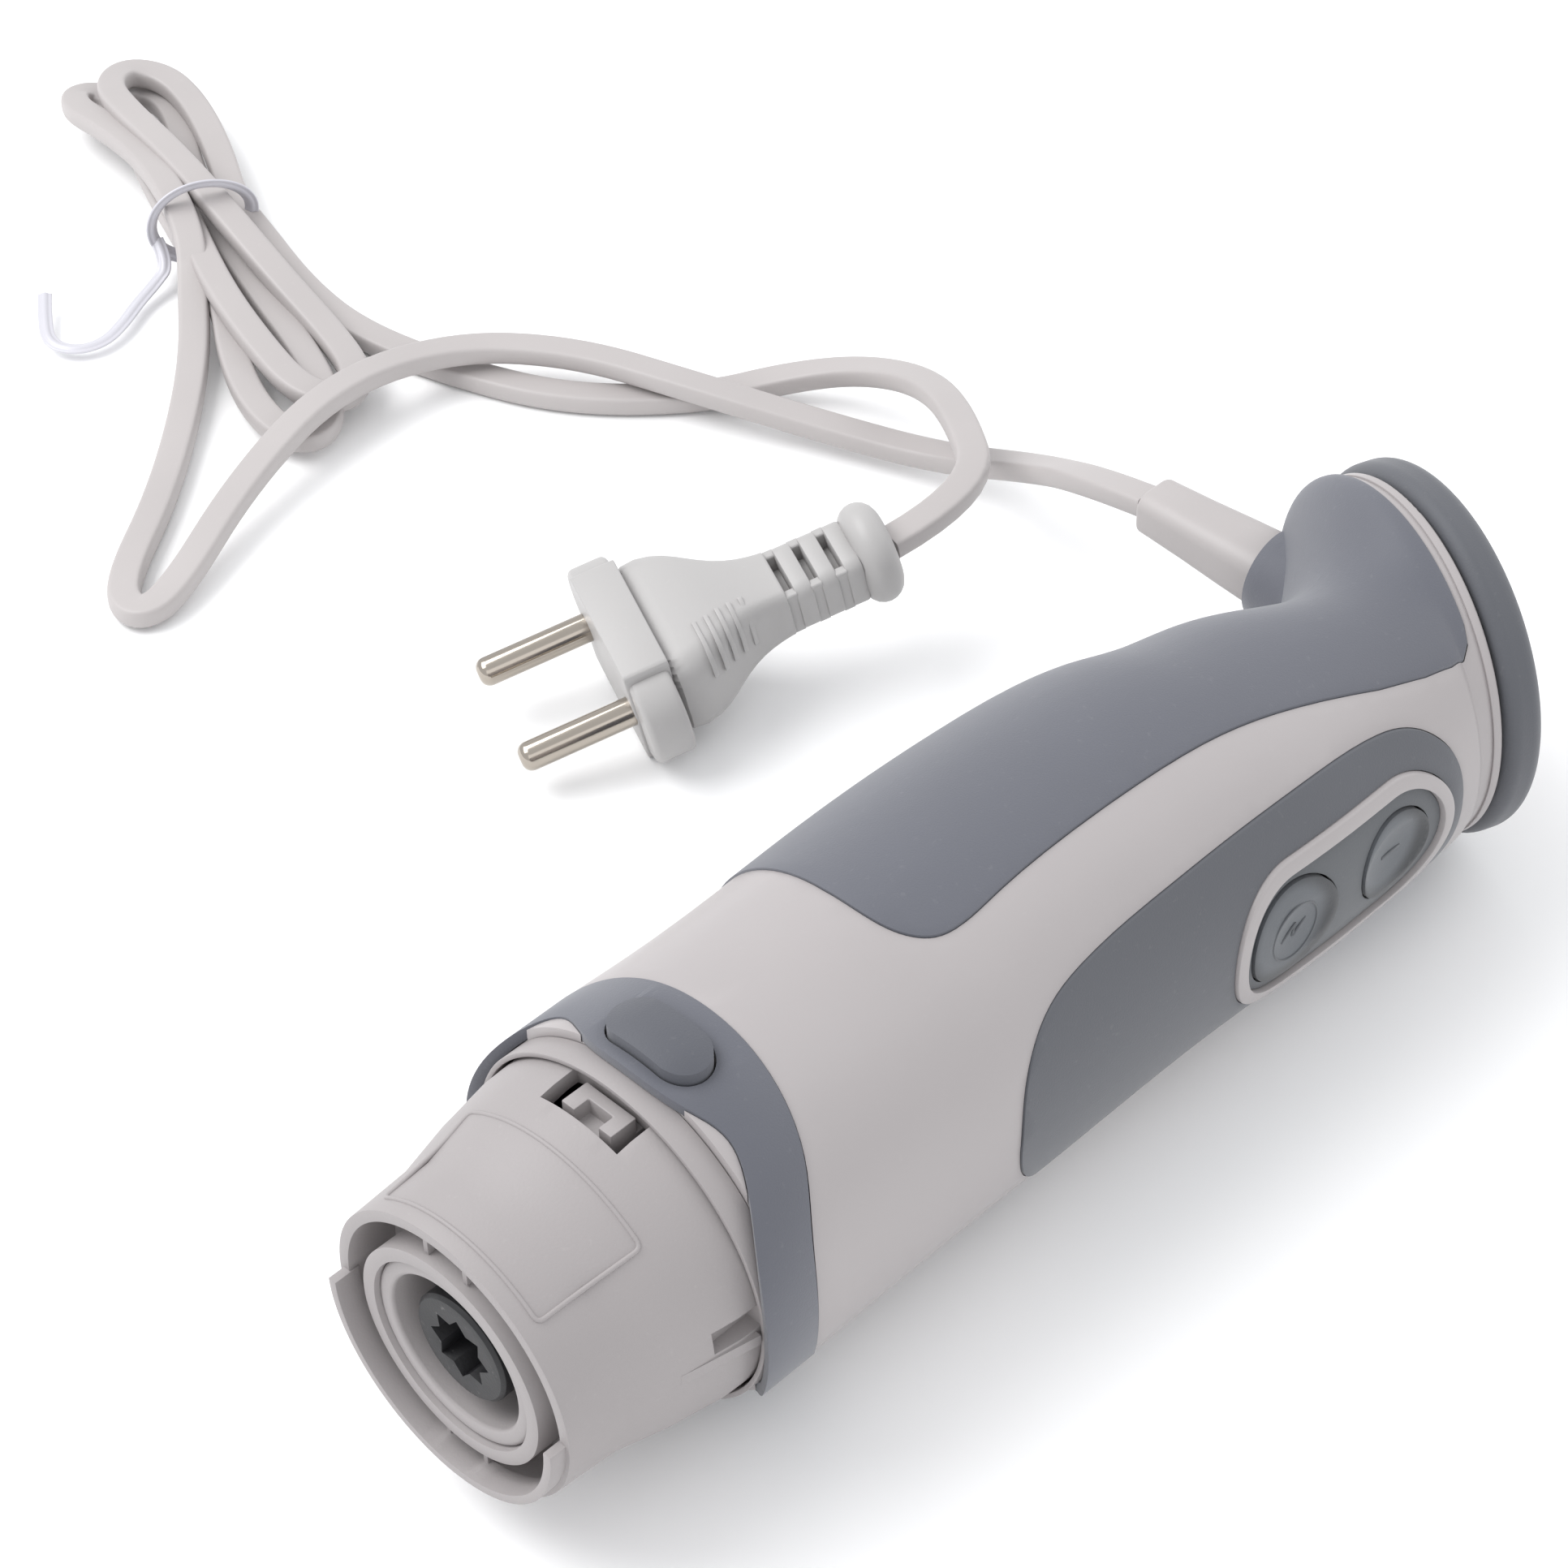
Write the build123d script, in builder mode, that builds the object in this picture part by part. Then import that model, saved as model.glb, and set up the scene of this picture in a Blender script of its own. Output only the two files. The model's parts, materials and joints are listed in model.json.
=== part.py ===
from build123d import *
import math
import os

os.makedirs("parts", exist_ok=True)

# placing: +X runs from the coupling end to the dial, the switches face -Y, the floor is z = 0
axis_h = 29.97
axis_y = 1.32
nose_x = -100.22

# fits
seat = 0.2
running = 0.05
press = 0.02
reveal = 0.15
slide_gap = 0.3

# handle outline: distance from the bore face, half width along Y, half height along Z, shift along Y
handle_sections = [
    (33.0, 28.0, 28.02, 0.0),
    (52.0, 28.0, 28.02, 0.0),
    (72.0, 28.1, 28.12, 0.1),
    (95.0, 28.4, 28.42, 0.4),
    (115.0, 28.1, 28.12, 0.0),
    (135.0, 26.8, 27.3, -2.3),
    (150.0, 24.6, 25.8, -4.8),
    (160.0, 22.2, 24.7, -7.2),
    (168.0, 20.0, 24.0, -9.4),
]
wall = 2.5
grip_proud = 0.3
skin_depth = 1.0

# cap end: the flange plane leans towards the switches
cap_u = 185.7
cap_v = -2.4
cap_lean = 20.7
cap_r = 27.7
waist_back = 8.5
waist_lean = 12.0
waist_r = 24.2
waist_v = -6.4
flange_r = 28.0
flange_t = 1.5
dial_gap = 0.4
dial_t = 6.4
dial_r = 28.9
dial_core_r = 24.3
spindle_r = 2.95
pot_r = 8.0
pot_l = 8.0
pot_boss = 5.0

# neck and collar
skirt_r = 21.6
ring_r = 16.4
sleeve_hole_r = 14.3
bore_r = 11.7
recess_depth = 8.0
neck_end_r = 25.1
neck_inner_r = 22.8
neck_l = 46.0
housing_start = 33.0
collar_r = 28.4
collar_seat_r = 26.75
window_u = 26.8
window_l = 6.4
window_w = 14.0

# release buttons and latches
pad_u = 38.0
pad_l = 8.0
pad_w = 16.0
pad_base = 24.0
pad_travel = 2.0
hook_z = 19.6
hook_t = 2.0
spring_seat_z = 11.0

# motor
shaft_r = 3.0
shaft_start = 11.5
shaft_end = 118.5
coupling_r = 8.2
coupling_front = 1.2
coupling_l = 16.0
star_r = 5.4
star_root_r = 3.9
star_depth = 9.0
bearing_r = 6.5
bearing_l = 5.0
front_bearing_u = 35.0
rear_bearing_u = 114.5
hub_r = 8.5
fan_r = 19.0
fan_u = 46.0
fan_l = 8.0
stator_u = 60.0
stator_l = 32.0
stator_r = 22.5
yoke_r = 19.5
rotor_r = 13.2
air_gap = 0.4
rotor_slots = 12
commutator_u = 100.0
commutator_l = 12.0
commutator_r = 9.0
brush_u = 106.0
rear_bracket_u = 114.0

# switches
large_u = 131.0
large_r = 8.5
small_u = 152.5
small_r = 7.2
bezel_half = 12.4
bezel_width = 2.2
window_half = 8.9
board_y = -13.0
board_t = 1.6
switch_h = 6.5
button_travel = 1.2

# lead: flat twin-core cord
cord_w = 5.6
cord_t = 3.6
boot_u = 188.5
boot_in = 15.5
boot_out = 47.0
lip_out = 22.8
clamp_u = 186.1
clamp_in = 11.6
lip_r = 7.2

# plug
pin_r = 2.4
pin_l = 19.0
pin_pitch = 19.0
plug_x = 17.32
plug_y = 98.12
plug_z = 11.3
plug_turn = -24.0
plug_rise = 12.0
plug_roll = 7.0
plug_flange_l = 7.5
plug_flange_w = 38.0
plug_flange_h = 21.0
plug_tail = 48.5

motor_axis = Axis((0, axis_y, axis_h), (1, 0, 0))
cap_normal = (math.cos(math.radians(cap_lean)), -math.sin(math.radians(cap_lean)), 0)
cap_side = (-cap_normal[1], cap_normal[0], 0)
top_plane = Plane(origin=(nose_x, axis_y, axis_h), x_dir=(1, 0, 0), z_dir=(0, 0, 1))
front_plane = Plane(origin=(nose_x, axis_y, axis_h), x_dir=(1, 0, 0), z_dir=(0, -1, 0))


def across(u, y=0.0, z=0.0):
    return Plane(origin=(nose_x + u, axis_y + y, axis_h + z), x_dir=(0, 1, 0), z_dir=(1, 0, 0))


def up_from(u, y, z, side=1):
    return Plane(origin=(nose_x + u, axis_y + y, axis_h + side * z), x_dir=(1, 0, 0), z_dir=(0, 0, side))


def at_cap(offset):
    x = nose_x + cap_u + offset * cap_normal[0]
    y = axis_y + cap_v + offset * cap_normal[1]
    return Plane(origin=(x, y, axis_h), x_dir=cap_side, z_dir=cap_normal)


def handle_shape(grow):
    with BuildPart() as shape:
        for u, half_y, half_z, shift in handle_sections:
            with BuildSketch(across(u, shift)):
                Ellipse(half_y + grow, half_z + grow)
        lean = math.radians(waist_lean)
        waist = Plane(
            origin=(nose_x + cap_u - waist_back, axis_y + waist_v, axis_h),
            x_dir=(math.sin(lean), math.cos(lean), 0),
            z_dir=(math.cos(lean), -math.sin(lean), 0),
        )
        with BuildSketch(waist):
            Ellipse(waist_r - 1.2 + grow, waist_r + 1.0 + grow)
        with BuildSketch(at_cap(0)):
            Ellipse(cap_r + grow, cap_r + 0.02 + grow)
        loft()
    return shape.part


def lip_shape(r_in, r_out, start, end):
    with BuildPart() as lip:
        with BuildSketch(Plane.XZ.offset(-axis_y - start)):
            with Locations((nose_x + boot_u, axis_h)):
                Circle(r_in)
        with BuildSketch(Plane.XZ.offset(-axis_y - end)):
            with Locations((nose_x + boot_u, axis_h)):
                Circle(r_out)
        loft()
        split(bisect_by=at_cap(-reveal), keep=Keep.BOTTOM)
    return lip.part


def boot_shape(grow):
    sections = [(boot_in, 7.4, 7.4), (22.0, 9.0, 8.4), (boot_out, 6.6, 5.8)]
    with BuildPart() as boot:
        for y, w, h in sections:
            with BuildSketch(Plane.XZ.offset(-axis_y - y)):
                with Locations((nose_x + boot_u, axis_h)):
                    RectangleRounded(w + 2 * grow, h + 2 * grow, 2.6)
        loft(ruled=True)
    return boot.part


def spread(points, grow):
    moved = []
    for i in range(len(points)):
        before = points[i - 1]
        after = points[(i + 1) % len(points)]
        run = after[0] - before[0]
        rise = after[1] - before[1]
        size = math.hypot(run, rise)
        moved.append((points[i][0] + grow * rise / size, points[i][1] - grow * run / size))
    return moved


def collar_region(grow):
    rear = [(36.2, -30), (38.0, -26.6), (41.8, -21.8), (45.1, -13.1), (46.2, 0)]
    rear = rear + [(u, -y) for u, y in reversed(rear[:-1])]
    front = [(27.4, 30), (29.8, 25), (33.0, 20.5), (35.0, 15.5), (33.0, 9), (31.8, 0)]
    front = front + [(u, -y) for u, y in reversed(front[:-1])]
    outline = spread(rear + front, grow)
    with BuildPart() as region:
        with BuildSketch(top_plane):
            with BuildLine():
                Spline(*outline[: len(rear)])
                Line(outline[len(rear) - 1], outline[len(rear)])
                Spline(*outline[len(rear):])
                Line(outline[-1], outline[0])
            make_face()
        extrude(amount=40, both=True)
    return region.part


def grip_region(grow):
    lean = math.tan(math.radians(cap_lean))
    end_u = cap_u - 1.0
    edge = [(71.9, 4), (72.1, -3), (73.5, -7.7), (76.6, -10.7), (81.0, -11.6), (88.0, -11.2)]
    edge = edge + [(101.0, -10.6), (117.0, -10.8), (132.0, -12.1)]
    edge = edge + [(146.0, -15.1), (159.0, -19.1)]
    corners = [(167.0, -21.2), (172.0, -22.0), (175.0, -21.9), (176.8, -21.0), (178.0, -19.2)]
    corners = corners + [(end_u - 15.4 * lean, -17.0), (end_u + 35.6 * lean, 34), (73.6, 34)]
    outline = spread(edge + corners, grow)
    last = len(edge)
    with BuildPart() as region:
        with BuildSketch(top_plane):
            with BuildLine():
                Spline(*outline[:last])
                Polyline(*outline[last - 1:], outline[0])
            make_face()
        extrude(amount=40, both=True)
    return region.part


def panel_region(grow):
    near = [(75.5, 0), (77.9, -9.0), (83.6, -14.4), (93.5, -17.0), (112.0, -17.8), (137.0, -18.4)]
    near = near + [(153.0, -17.6), (161.0, -15.4), (165.6, -10.6), (167.4, 0)]
    far = [(u, -z) for u, z in reversed(near[1:-1])]
    with BuildPart() as region:
        with BuildSketch(front_plane):
            with BuildLine():
                Spline(*spread(near + far, grow), periodic=True)
            make_face()
        extrude(amount=40)
    return region.part


def oval_region(half, start, end):
    reach = small_u - large_u
    middle = (large_u + small_u) / 2
    with BuildPart() as region:
        with BuildSketch(front_plane.offset(start)):
            with Locations((middle, 0)):
                SlotOverall(reach + 2 * half, 2 * half)
        extrude(amount=end - start)
    return region.part


def pad_hole(side):
    with BuildPart() as hole:
        with BuildSketch(up_from(pad_u, 0, 18, side)):
            SlotOverall(pad_w + 2 * slide_gap, pad_l + 2 * slide_gap, rotation=90)
        extrude(amount=16)
    return hole.part


def boss_shape():
    with BuildPart() as boss:
        add(lip_shape(9.4, 9.4, boot_in, 24))
        add(handle_shape(-0.8), mode=Mode.INTERSECT)
    return boss.part


def board_posts():
    with BuildPart() as posts:
        with BuildSketch(front_plane.offset(-board_y)):
            with GridLocations(44, 21, 2, 2):
                with Locations((144, 0)):
                    Circle(2)
        extrude(amount=20)
        add(handle_shape(-0.8), mode=Mode.INTERSECT)
    return posts.part


def grip_seat():
    with BuildPart() as pocket:
        add(handle_shape(3))
        add(lip_shape(12, 12, 10, 40))
        add(handle_shape(-skin_depth), mode=Mode.SUBTRACT)
        add(lip_shape(9.6 - skin_depth, lip_r - skin_depth, 12, lip_out - 0.6), mode=Mode.SUBTRACT)
        add(grip_region(reveal), mode=Mode.INTERSECT)
    return pocket.part


def panel_seat():
    with BuildPart() as pocket:
        add(handle_shape(3))
        add(handle_shape(-skin_depth), mode=Mode.SUBTRACT)
        add(panel_region(reveal), mode=Mode.INTERSECT)
    return pocket.part


def collar_seat():
    with BuildPart() as pocket:
        with BuildSketch(across(20)):
            Circle(40)
            Circle(collar_seat_r, mode=Mode.SUBTRACT)
        extrude(amount=30)
        add(collar_region(reveal), mode=Mode.INTERSECT)
    return pocket.part


def mains_tube(points):
    radii = []
    for before, corner, after in zip(points, points[1:], points[2:]):
        run_in = Vector(*corner) - Vector(*before)
        run_out = Vector(*after) - Vector(*corner)
        half_turn = math.radians(run_in.get_angle(run_out) / 2)
        radii.append(0.45 * min(run_in.length, run_out.length) / math.tan(half_turn))
    print("bend radii", [round(r, 1) for r in radii])
    with BuildPart() as tube:
        with BuildLine() as route:
            FilletPolyline(*points, radius=radii)
        start = route.line @ 0
        direction = route.line % 0
        with BuildSketch(Plane(origin=start, x_dir=direction.cross(Vector(0, 0, 1)), z_dir=direction)):
            RectangleRounded(cord_w, cord_t, cord_t / 2 - 0.01)
        above = Wire(route.edges()).moved(Location((0, 0, 20)))
        sweep(path=Wire(route.edges()), binormal=above)
    length = sum(edge.length for edge in route.edges())
    print("cord stretch", round(length, 1), "volume", round(tube.part.volume, 1))
    return tube.part


# housing shell
with BuildPart() as housing:
    add(handle_shape(0))
    add(lip_shape(9.6, lip_r, 12, lip_out))
    add(handle_shape(-wall), mode=Mode.SUBTRACT)
    add(boss_shape())
    add(board_posts())
    add(grip_seat(), mode=Mode.SUBTRACT)
    add(panel_seat(), mode=Mode.SUBTRACT)
    add(collar_seat(), mode=Mode.SUBTRACT)
    add(pad_hole(1), mode=Mode.SUBTRACT)
    add(pad_hole(-1), mode=Mode.SUBTRACT)
    add(oval_region(window_half, 10, 40), mode=Mode.SUBTRACT)
    add(boot_shape(seat), mode=Mode.SUBTRACT)
housing.part.label = "housing_shell"
export_step(housing.part, "parts/housing_shell.step")
print("housing", len(housing.part.solids()), round(housing.part.volume))

# neck that takes the attachments
with BuildPart() as neck:
    with BuildSketch(top_plane):
        Polygon(
            (0, skirt_r),
            (10, 22.2),
            (18, 24.1),
            (26, 25.4),
            (32.7, 25.7),
            (32.7, neck_end_r),
            (neck_l, neck_end_r),
            (neck_l, neck_inner_r),
            (28, neck_inner_r),
            (12, 19.7),
            (12, sleeve_hole_r),
            (-0.5, sleeve_hole_r),
            (-0.5, ring_r),
            (recess_depth, ring_r),
            (recess_depth, 19.9),
            (0, 19.9),
            align=None,
        )
    revolve(axis=motor_axis)
    with BuildSketch(across(-2.6)):
        Circle(20.9)
        Circle(19.6, mode=Mode.SUBTRACT)
        with Locations((0, 25)):
            Rectangle(60, 50, mode=Mode.SUBTRACT)
    extrude(amount=4)
    for side in (-1, 1):
        with BuildSketch(up_from(window_u, 0, 20, side)):
            Rectangle(window_l, window_w)
        extrude(amount=10, mode=Mode.SUBTRACT)
        with BuildSketch(up_from(pad_u + 0.5, 0, 20, side)):
            Rectangle(11.6, pad_w + 2.4)
        extrude(amount=10, mode=Mode.SUBTRACT)
        for rib_y in (-3.6, 3.6):
            with BuildSketch(across(0.6, rib_y, side * 18.15)):
                Rectangle(0.8, 3.9)
            extrude(amount=recess_depth)
        with BuildSketch(front_plane.offset(side * 23.0)):
            with Locations((25.8, 3.2)):
                Rectangle(7.4, 3.6)
        extrude(amount=side * 6, mode=Mode.SUBTRACT)
        guide = [(17, 22.0), (17, 23.9), (28.6, 26.4), (28.6, 24.0)]
        with BuildSketch(top_plane.offset(-0.9)):
            Polygon(*[(u, -side * y) for u, y in guide], align=None)
        extrude(amount=1.8)
neck.part.label = "neck"
export_step(neck.part, "parts/neck.step")
print("neck", len(neck.part.solids()), round(neck.part.volume))

# sleeve around the drive coupling
with BuildPart() as sleeve:
    with BuildSketch(across(0.2)):
        Circle(sleeve_hole_r - 0.1)
        Circle(bore_r, mode=Mode.SUBTRACT)
    extrude(amount=24)
    chamfer(sleeve.edges().filter_by(GeomType.CIRCLE).group_by(Axis.X)[0], 0.4)
sleeve.part.label = "bore_sleeve"
export_step(sleeve.part, "parts/bore_sleeve.step")

# soft band round the front of the housing, and the liner inside its front edge
with BuildPart() as collar:
    with BuildSketch(across(25)):
        Circle(collar_r)
        Circle(collar_seat_r + 0.1, mode=Mode.SUBTRACT)
    extrude(amount=23)
    add(collar_region(0), mode=Mode.INTERSECT)
    add(pad_hole(1), mode=Mode.SUBTRACT)
    add(pad_hole(-1), mode=Mode.SUBTRACT)
collar.part.label = "collar_band"
export_step(collar.part, "parts/collar_band.step")

with BuildPart() as liner:
    with BuildSketch(across(29)):
        Circle(collar_seat_r - 0.05)
        Circle(25.95, mode=Mode.SUBTRACT)
    extrude(amount=housing_start - 29 - 0.1)
liner.part.label = "collar_liner"
export_step(liner.part, "parts/collar_liner.step")

# soft skins of the handle
with BuildPart() as grip:
    add(handle_shape(grip_proud))
    add(lip_shape(9.6 + grip_proud, lip_r + grip_proud, 12, lip_out))
    add(handle_shape(-skin_depth + 0.05), mode=Mode.SUBTRACT)
    inset = skin_depth - 0.05
    add(lip_shape(9.6 - inset, lip_r - inset, 12, lip_out - 0.55), mode=Mode.SUBTRACT)
    add(grip_region(0), mode=Mode.INTERSECT)
    add(boot_shape(seat), mode=Mode.SUBTRACT)
print("grip solids", len(grip.part.solids()), [round(s.volume, 1) for s in grip.part.solids()])
grip.part.label = "back_grip"
export_step(grip.part, "parts/back_grip.step")

with BuildPart() as panel:
    add(handle_shape(grip_proud))
    add(handle_shape(-skin_depth + 0.05), mode=Mode.SUBTRACT)
    add(panel_region(0), mode=Mode.INTERSECT)
    add(oval_region(bezel_half + reveal, 10, 40), mode=Mode.SUBTRACT)
print("panel solids", len(panel.part.solids()))
panel.part.label = "front_panel"
export_step(panel.part, "parts/front_panel.step")

with BuildPart() as bezel:
    add(handle_shape(0.9))
    add(handle_shape(-skin_depth + 0.05), mode=Mode.SUBTRACT)
    add(oval_region(bezel_half, 10, 40), mode=Mode.INTERSECT)
    add(oval_region(bezel_half - bezel_width, 10, 40), mode=Mode.SUBTRACT)
print("bezel solids", len(bezel.part.solids()))
bezel.part.label = "switch_bezel"
export_step(bezel.part, "parts/switch_bezel.step")

with BuildPart() as membrane:
    add(handle_shape(-0.1))
    add(handle_shape(-skin_depth + 0.05), mode=Mode.SUBTRACT)
    add(oval_region(bezel_half - bezel_width - 0.1, 10, 40), mode=Mode.INTERSECT)
    with BuildSketch(front_plane.offset(10)):
        with Locations((large_u, 0)):
            Circle(large_r + slide_gap)
        with Locations((small_u, 0)):
            Circle(small_r + slide_gap)
    extrude(amount=30, mode=Mode.SUBTRACT)
print("membrane solids", len(membrane.part.solids()))
membrane.part.label = "switch_membrane"
export_step(membrane.part, "parts/switch_membrane.step")

# switch buttons
for name, button_u, button_r in (("button_large", large_u, large_r), ("button_small", small_u, small_r)):
    with BuildPart() as button:
        with BuildSketch(front_plane.offset(24.6)):
            with Locations((button_u, 0)):
                Circle(button_r)
        extrude(amount=10)
        add(handle_shape(0.3), mode=Mode.INTERSECT)
        with BuildSketch(front_plane.offset(-board_y + switch_h + 2.4)):
            with Locations((button_u, 0)):
                Circle(2)
        extrude(amount=24.7 + board_y - switch_h - 2.4)
        with Locations((nose_x + button_u, axis_y - 28.4 - 2.6 * button_r, axis_h)):
            Sphere(2.6 * button_r + 0.1, mode=Mode.SUBTRACT)
    print(name, len(button.part.solids()), round(button.part.volume, 1))
    button.part.label = name
    export_step(button.part, "parts/" + name + ".step")

# control board with its switches
with BuildPart() as board:
    with BuildSketch(front_plane.offset(-board_y - board_t - 0.05)):
        with Locations((144, 0)):
            Rectangle(48, 24)
    extrude(amount=board_t)
board.part.label = "control_board"
export_step(board.part, "parts/control_board.step")

for name, switch_u in (("microswitch_large", large_u), ("microswitch_small", small_u)):
    with BuildPart() as microswitch:
        with BuildSketch(front_plane.offset(-board_y)):
            with Locations((switch_u, 0)):
                Rectangle(12.8, 6.0)
        extrude(amount=switch_h - 0.8)
        with BuildSketch(front_plane.offset(-board_y + switch_h - 0.8)):
            with Locations((switch_u, 0)):
                Rectangle(3.0, 2.4)
        extrude(amount=0.8)
    microswitch.part.label = name
    export_step(microswitch.part, "parts/" + name + ".step")

# cap end
with BuildPart() as flange:
    with BuildSketch(at_cap(0.02)):
        Circle(flange_r)
    extrude(amount=flange_t)
    with BuildSketch(at_cap(-pot_boss)):
        Circle(9.2)
    extrude(amount=pot_boss + 0.1)
    with BuildSketch(at_cap(-pot_boss)):
        Circle(5)
    extrude(amount=pot_boss + flange_t + 1, mode=Mode.SUBTRACT)
    fillet(flange.edges().filter_by(GeomType.CIRCLE).sort_by(SortBy.RADIUS)[-1], 0.5)
flange.part.label = "cap_flange"
export_step(flange.part, "parts/cap_flange.step")

with BuildPart() as pot:
    with BuildSketch(at_cap(-pot_boss - pot_l - 0.02)):
        Circle(pot_r)
    extrude(amount=pot_l)
    with BuildSketch(at_cap(-pot_boss - 0.1)):
        Circle(4.85)
    extrude(amount=pot_boss + flange_t)
    with BuildSketch(at_cap(-pot_boss - pot_l + 2)):
        Circle(spindle_r + running)
    extrude(amount=30, mode=Mode.SUBTRACT)
pot.part.label = "potentiometer"
export_step(pot.part, "parts/potentiometer.step")

dial_start = flange_t + dial_gap
with BuildPart() as spindle:
    with BuildSketch(at_cap(-pot_boss - pot_l + 2.1)):
        Circle(spindle_r)
    extrude(amount=pot_boss + pot_l - 2.1 + dial_start + 4.2)
spindle.part.label = "dial_spindle"
export_step(spindle.part, "parts/dial_spindle.step")

with BuildPart() as dial_core:
    with BuildSketch(at_cap(dial_start)):
        Circle(dial_core_r)
        Circle(dial_core_r - 2, mode=Mode.SUBTRACT)
        Circle(6)
        Circle(spindle_r + press, mode=Mode.SUBTRACT)
    extrude(amount=4.8)
    with BuildSketch(at_cap(dial_start + 3.1)):
        Circle(dial_core_r)
        Circle(spindle_r + press, mode=Mode.SUBTRACT)
    extrude(amount=1.7)
dial_core.part.label = "dial_core"
export_step(dial_core.part, "parts/dial_core.step")

with BuildPart() as dial_rim:
    with BuildSketch(at_cap(dial_start + 0.2)):
        Circle(dial_r)
        Circle(dial_core_r + 0.05, mode=Mode.SUBTRACT)
    extrude(amount=dial_t - 0.2)
    outer = dial_rim.edges().filter_by(GeomType.CIRCLE).sort_by(SortBy.RADIUS)[-2:]
    fillet(outer, 2.2)
dial_rim.part.label = "dial_rim"
export_step(dial_rim.part, "parts/dial_rim.step")

with BuildPart() as dial_cover:
    with BuildSketch(at_cap(dial_start + 4.85)):
        Circle(dial_core_r - 0.1)
    extrude(amount=1.35)
dial_cover.part.label = "dial_cover"
export_step(dial_cover.part, "parts/dial_cover.step")

# release buttons and their latch hooks, above and below
for word, side in (("upper", 1), ("lower", -1)):
    with BuildPart() as pad:
        with BuildSketch(up_from(pad_u, 0, pad_base, side)):
            SlotOverall(pad_w, pad_l, rotation=90)
        extrude(amount=8)
        with BuildSketch(across(pad_u - 10)):
            Circle(axis_h)
        extrude(amount=20, mode=Mode.INTERSECT)
    pad.part.label = "release_button_" + word
    export_step(pad.part, "parts/release_button_" + word + ".step")

    with BuildPart() as hook:
        with BuildSketch(up_from(34, 0, hook_z, side)):
            Rectangle(18.2, 9)
        extrude(amount=hook_t)
        with BuildSketch(up_from(pad_u, 0, hook_z + hook_t - 0.1, side)):
            Rectangle(6, 8)
        extrude(amount=pad_base - hook_z - hook_t + 0.1)
        with BuildSketch(up_from(27.1, 0, hook_z + hook_t - 0.1, side)):
            Rectangle(4.4, 9)
            with Locations((-1.2, 0)):
                Rectangle(3.2, 4.4, mode=Mode.SUBTRACT)
        extrude(amount=2.7)
    hook.part.label = "latch_hook_" + word
    export_step(hook.part, "parts/latch_hook_" + word + ".step")

    with BuildPart() as spring:
        with BuildLine() as coil_line:
            Helix(
                pitch=1.9,
                height=hook_z - spring_seat_z - 1.0,
                radius=2.3,
                center=(nose_x + pad_u, axis_y, axis_h + side * (spring_seat_z + 0.5)),
                direction=(0, 0, side),
            )
        with BuildSketch(Plane(origin=coil_line.line @ 0, z_dir=coil_line.line % 0)):
            Circle(0.4)
        sweep(path=coil_line.line, is_frenet=True)
    spring.part.label = "latch_spring_" + word
    export_step(spring.part, "parts/latch_spring_" + word + ".step")
print("spring", round(spring.part.volume, 2))

# motor
with BuildPart() as front_bracket:
    with BuildSketch(across(36)):
        Circle(neck_inner_r - seat)
    extrude(amount=3)
    for side in (-1, 1):
        with BuildSketch(across(35.4, 0, side * (spring_seat_z + 8))):
            Rectangle(12.6, 16)
        extrude(amount=6, mode=Mode.SUBTRACT)
    with BuildSketch(across(34)):
        Circle(hub_r)
    extrude(amount=8.2)
    with BuildSketch(across(35)):
        Rectangle(6.4, 2 * spring_seat_z)
    extrude(amount=6)
    with BuildSketch(across(33)):
        Circle(shaft_r + 1)
    extrude(amount=10, mode=Mode.SUBTRACT)
    with BuildSketch(across(front_bearing_u)):
        Circle(bearing_r + press)
    extrude(amount=10, mode=Mode.SUBTRACT)
front_bracket.part.label = "front_bearing_bracket"
export_step(front_bracket.part, "parts/front_bearing_bracket.step")
print("front bracket", len(front_bracket.part.solids()))

with BuildPart() as rear_bracket:
    with BuildSketch(across(rear_bracket_u)):
        Circle(21.5)
    extrude(amount=3.4)
    with BuildSketch(across(rear_bracket_u - 1.5)):
        Circle(hub_r)
    extrude(amount=7.2)
    with BuildSketch(across(stator_u + stator_l + 0.1)):
        Circle(21.8)
        Circle(19.8, mode=Mode.SUBTRACT)
        Rectangle(50, 14, mode=Mode.INTERSECT)
    extrude(amount=rear_bracket_u - stator_u - stator_l)
    with BuildSketch(across(rear_bracket_u - 3)):
        Circle(shaft_r + 1)
    extrude(amount=12, mode=Mode.SUBTRACT)
    with BuildSketch(across(rear_bearing_u)):
        Circle(bearing_r + press)
    extrude(amount=12, mode=Mode.SUBTRACT)
rear_bracket.part.label = "rear_bearing_bracket"
export_step(rear_bracket.part, "parts/rear_bearing_bracket.step")
print("rear bracket", len(rear_bracket.part.solids()))

for name, bearing_u in (("front_bearing", front_bearing_u), ("rear_bearing", rear_bearing_u)):
    with BuildPart() as bearing:
        with BuildSketch(across(bearing_u + 0.05)):
            Circle(bearing_r)
            Circle(shaft_r + running, mode=Mode.SUBTRACT)
        extrude(amount=bearing_l - 0.1)
    bearing.part.label = name
    export_step(bearing.part, "parts/" + name + ".step")

with BuildPart() as shaft:
    with BuildSketch(across(shaft_start)):
        Circle(shaft_r)
    extrude(amount=shaft_end - shaft_start)
    chamfer(shaft.edges(), 0.4)
shaft.part.label = "motor_shaft"
export_step(shaft.part, "parts/motor_shaft.step")

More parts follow.
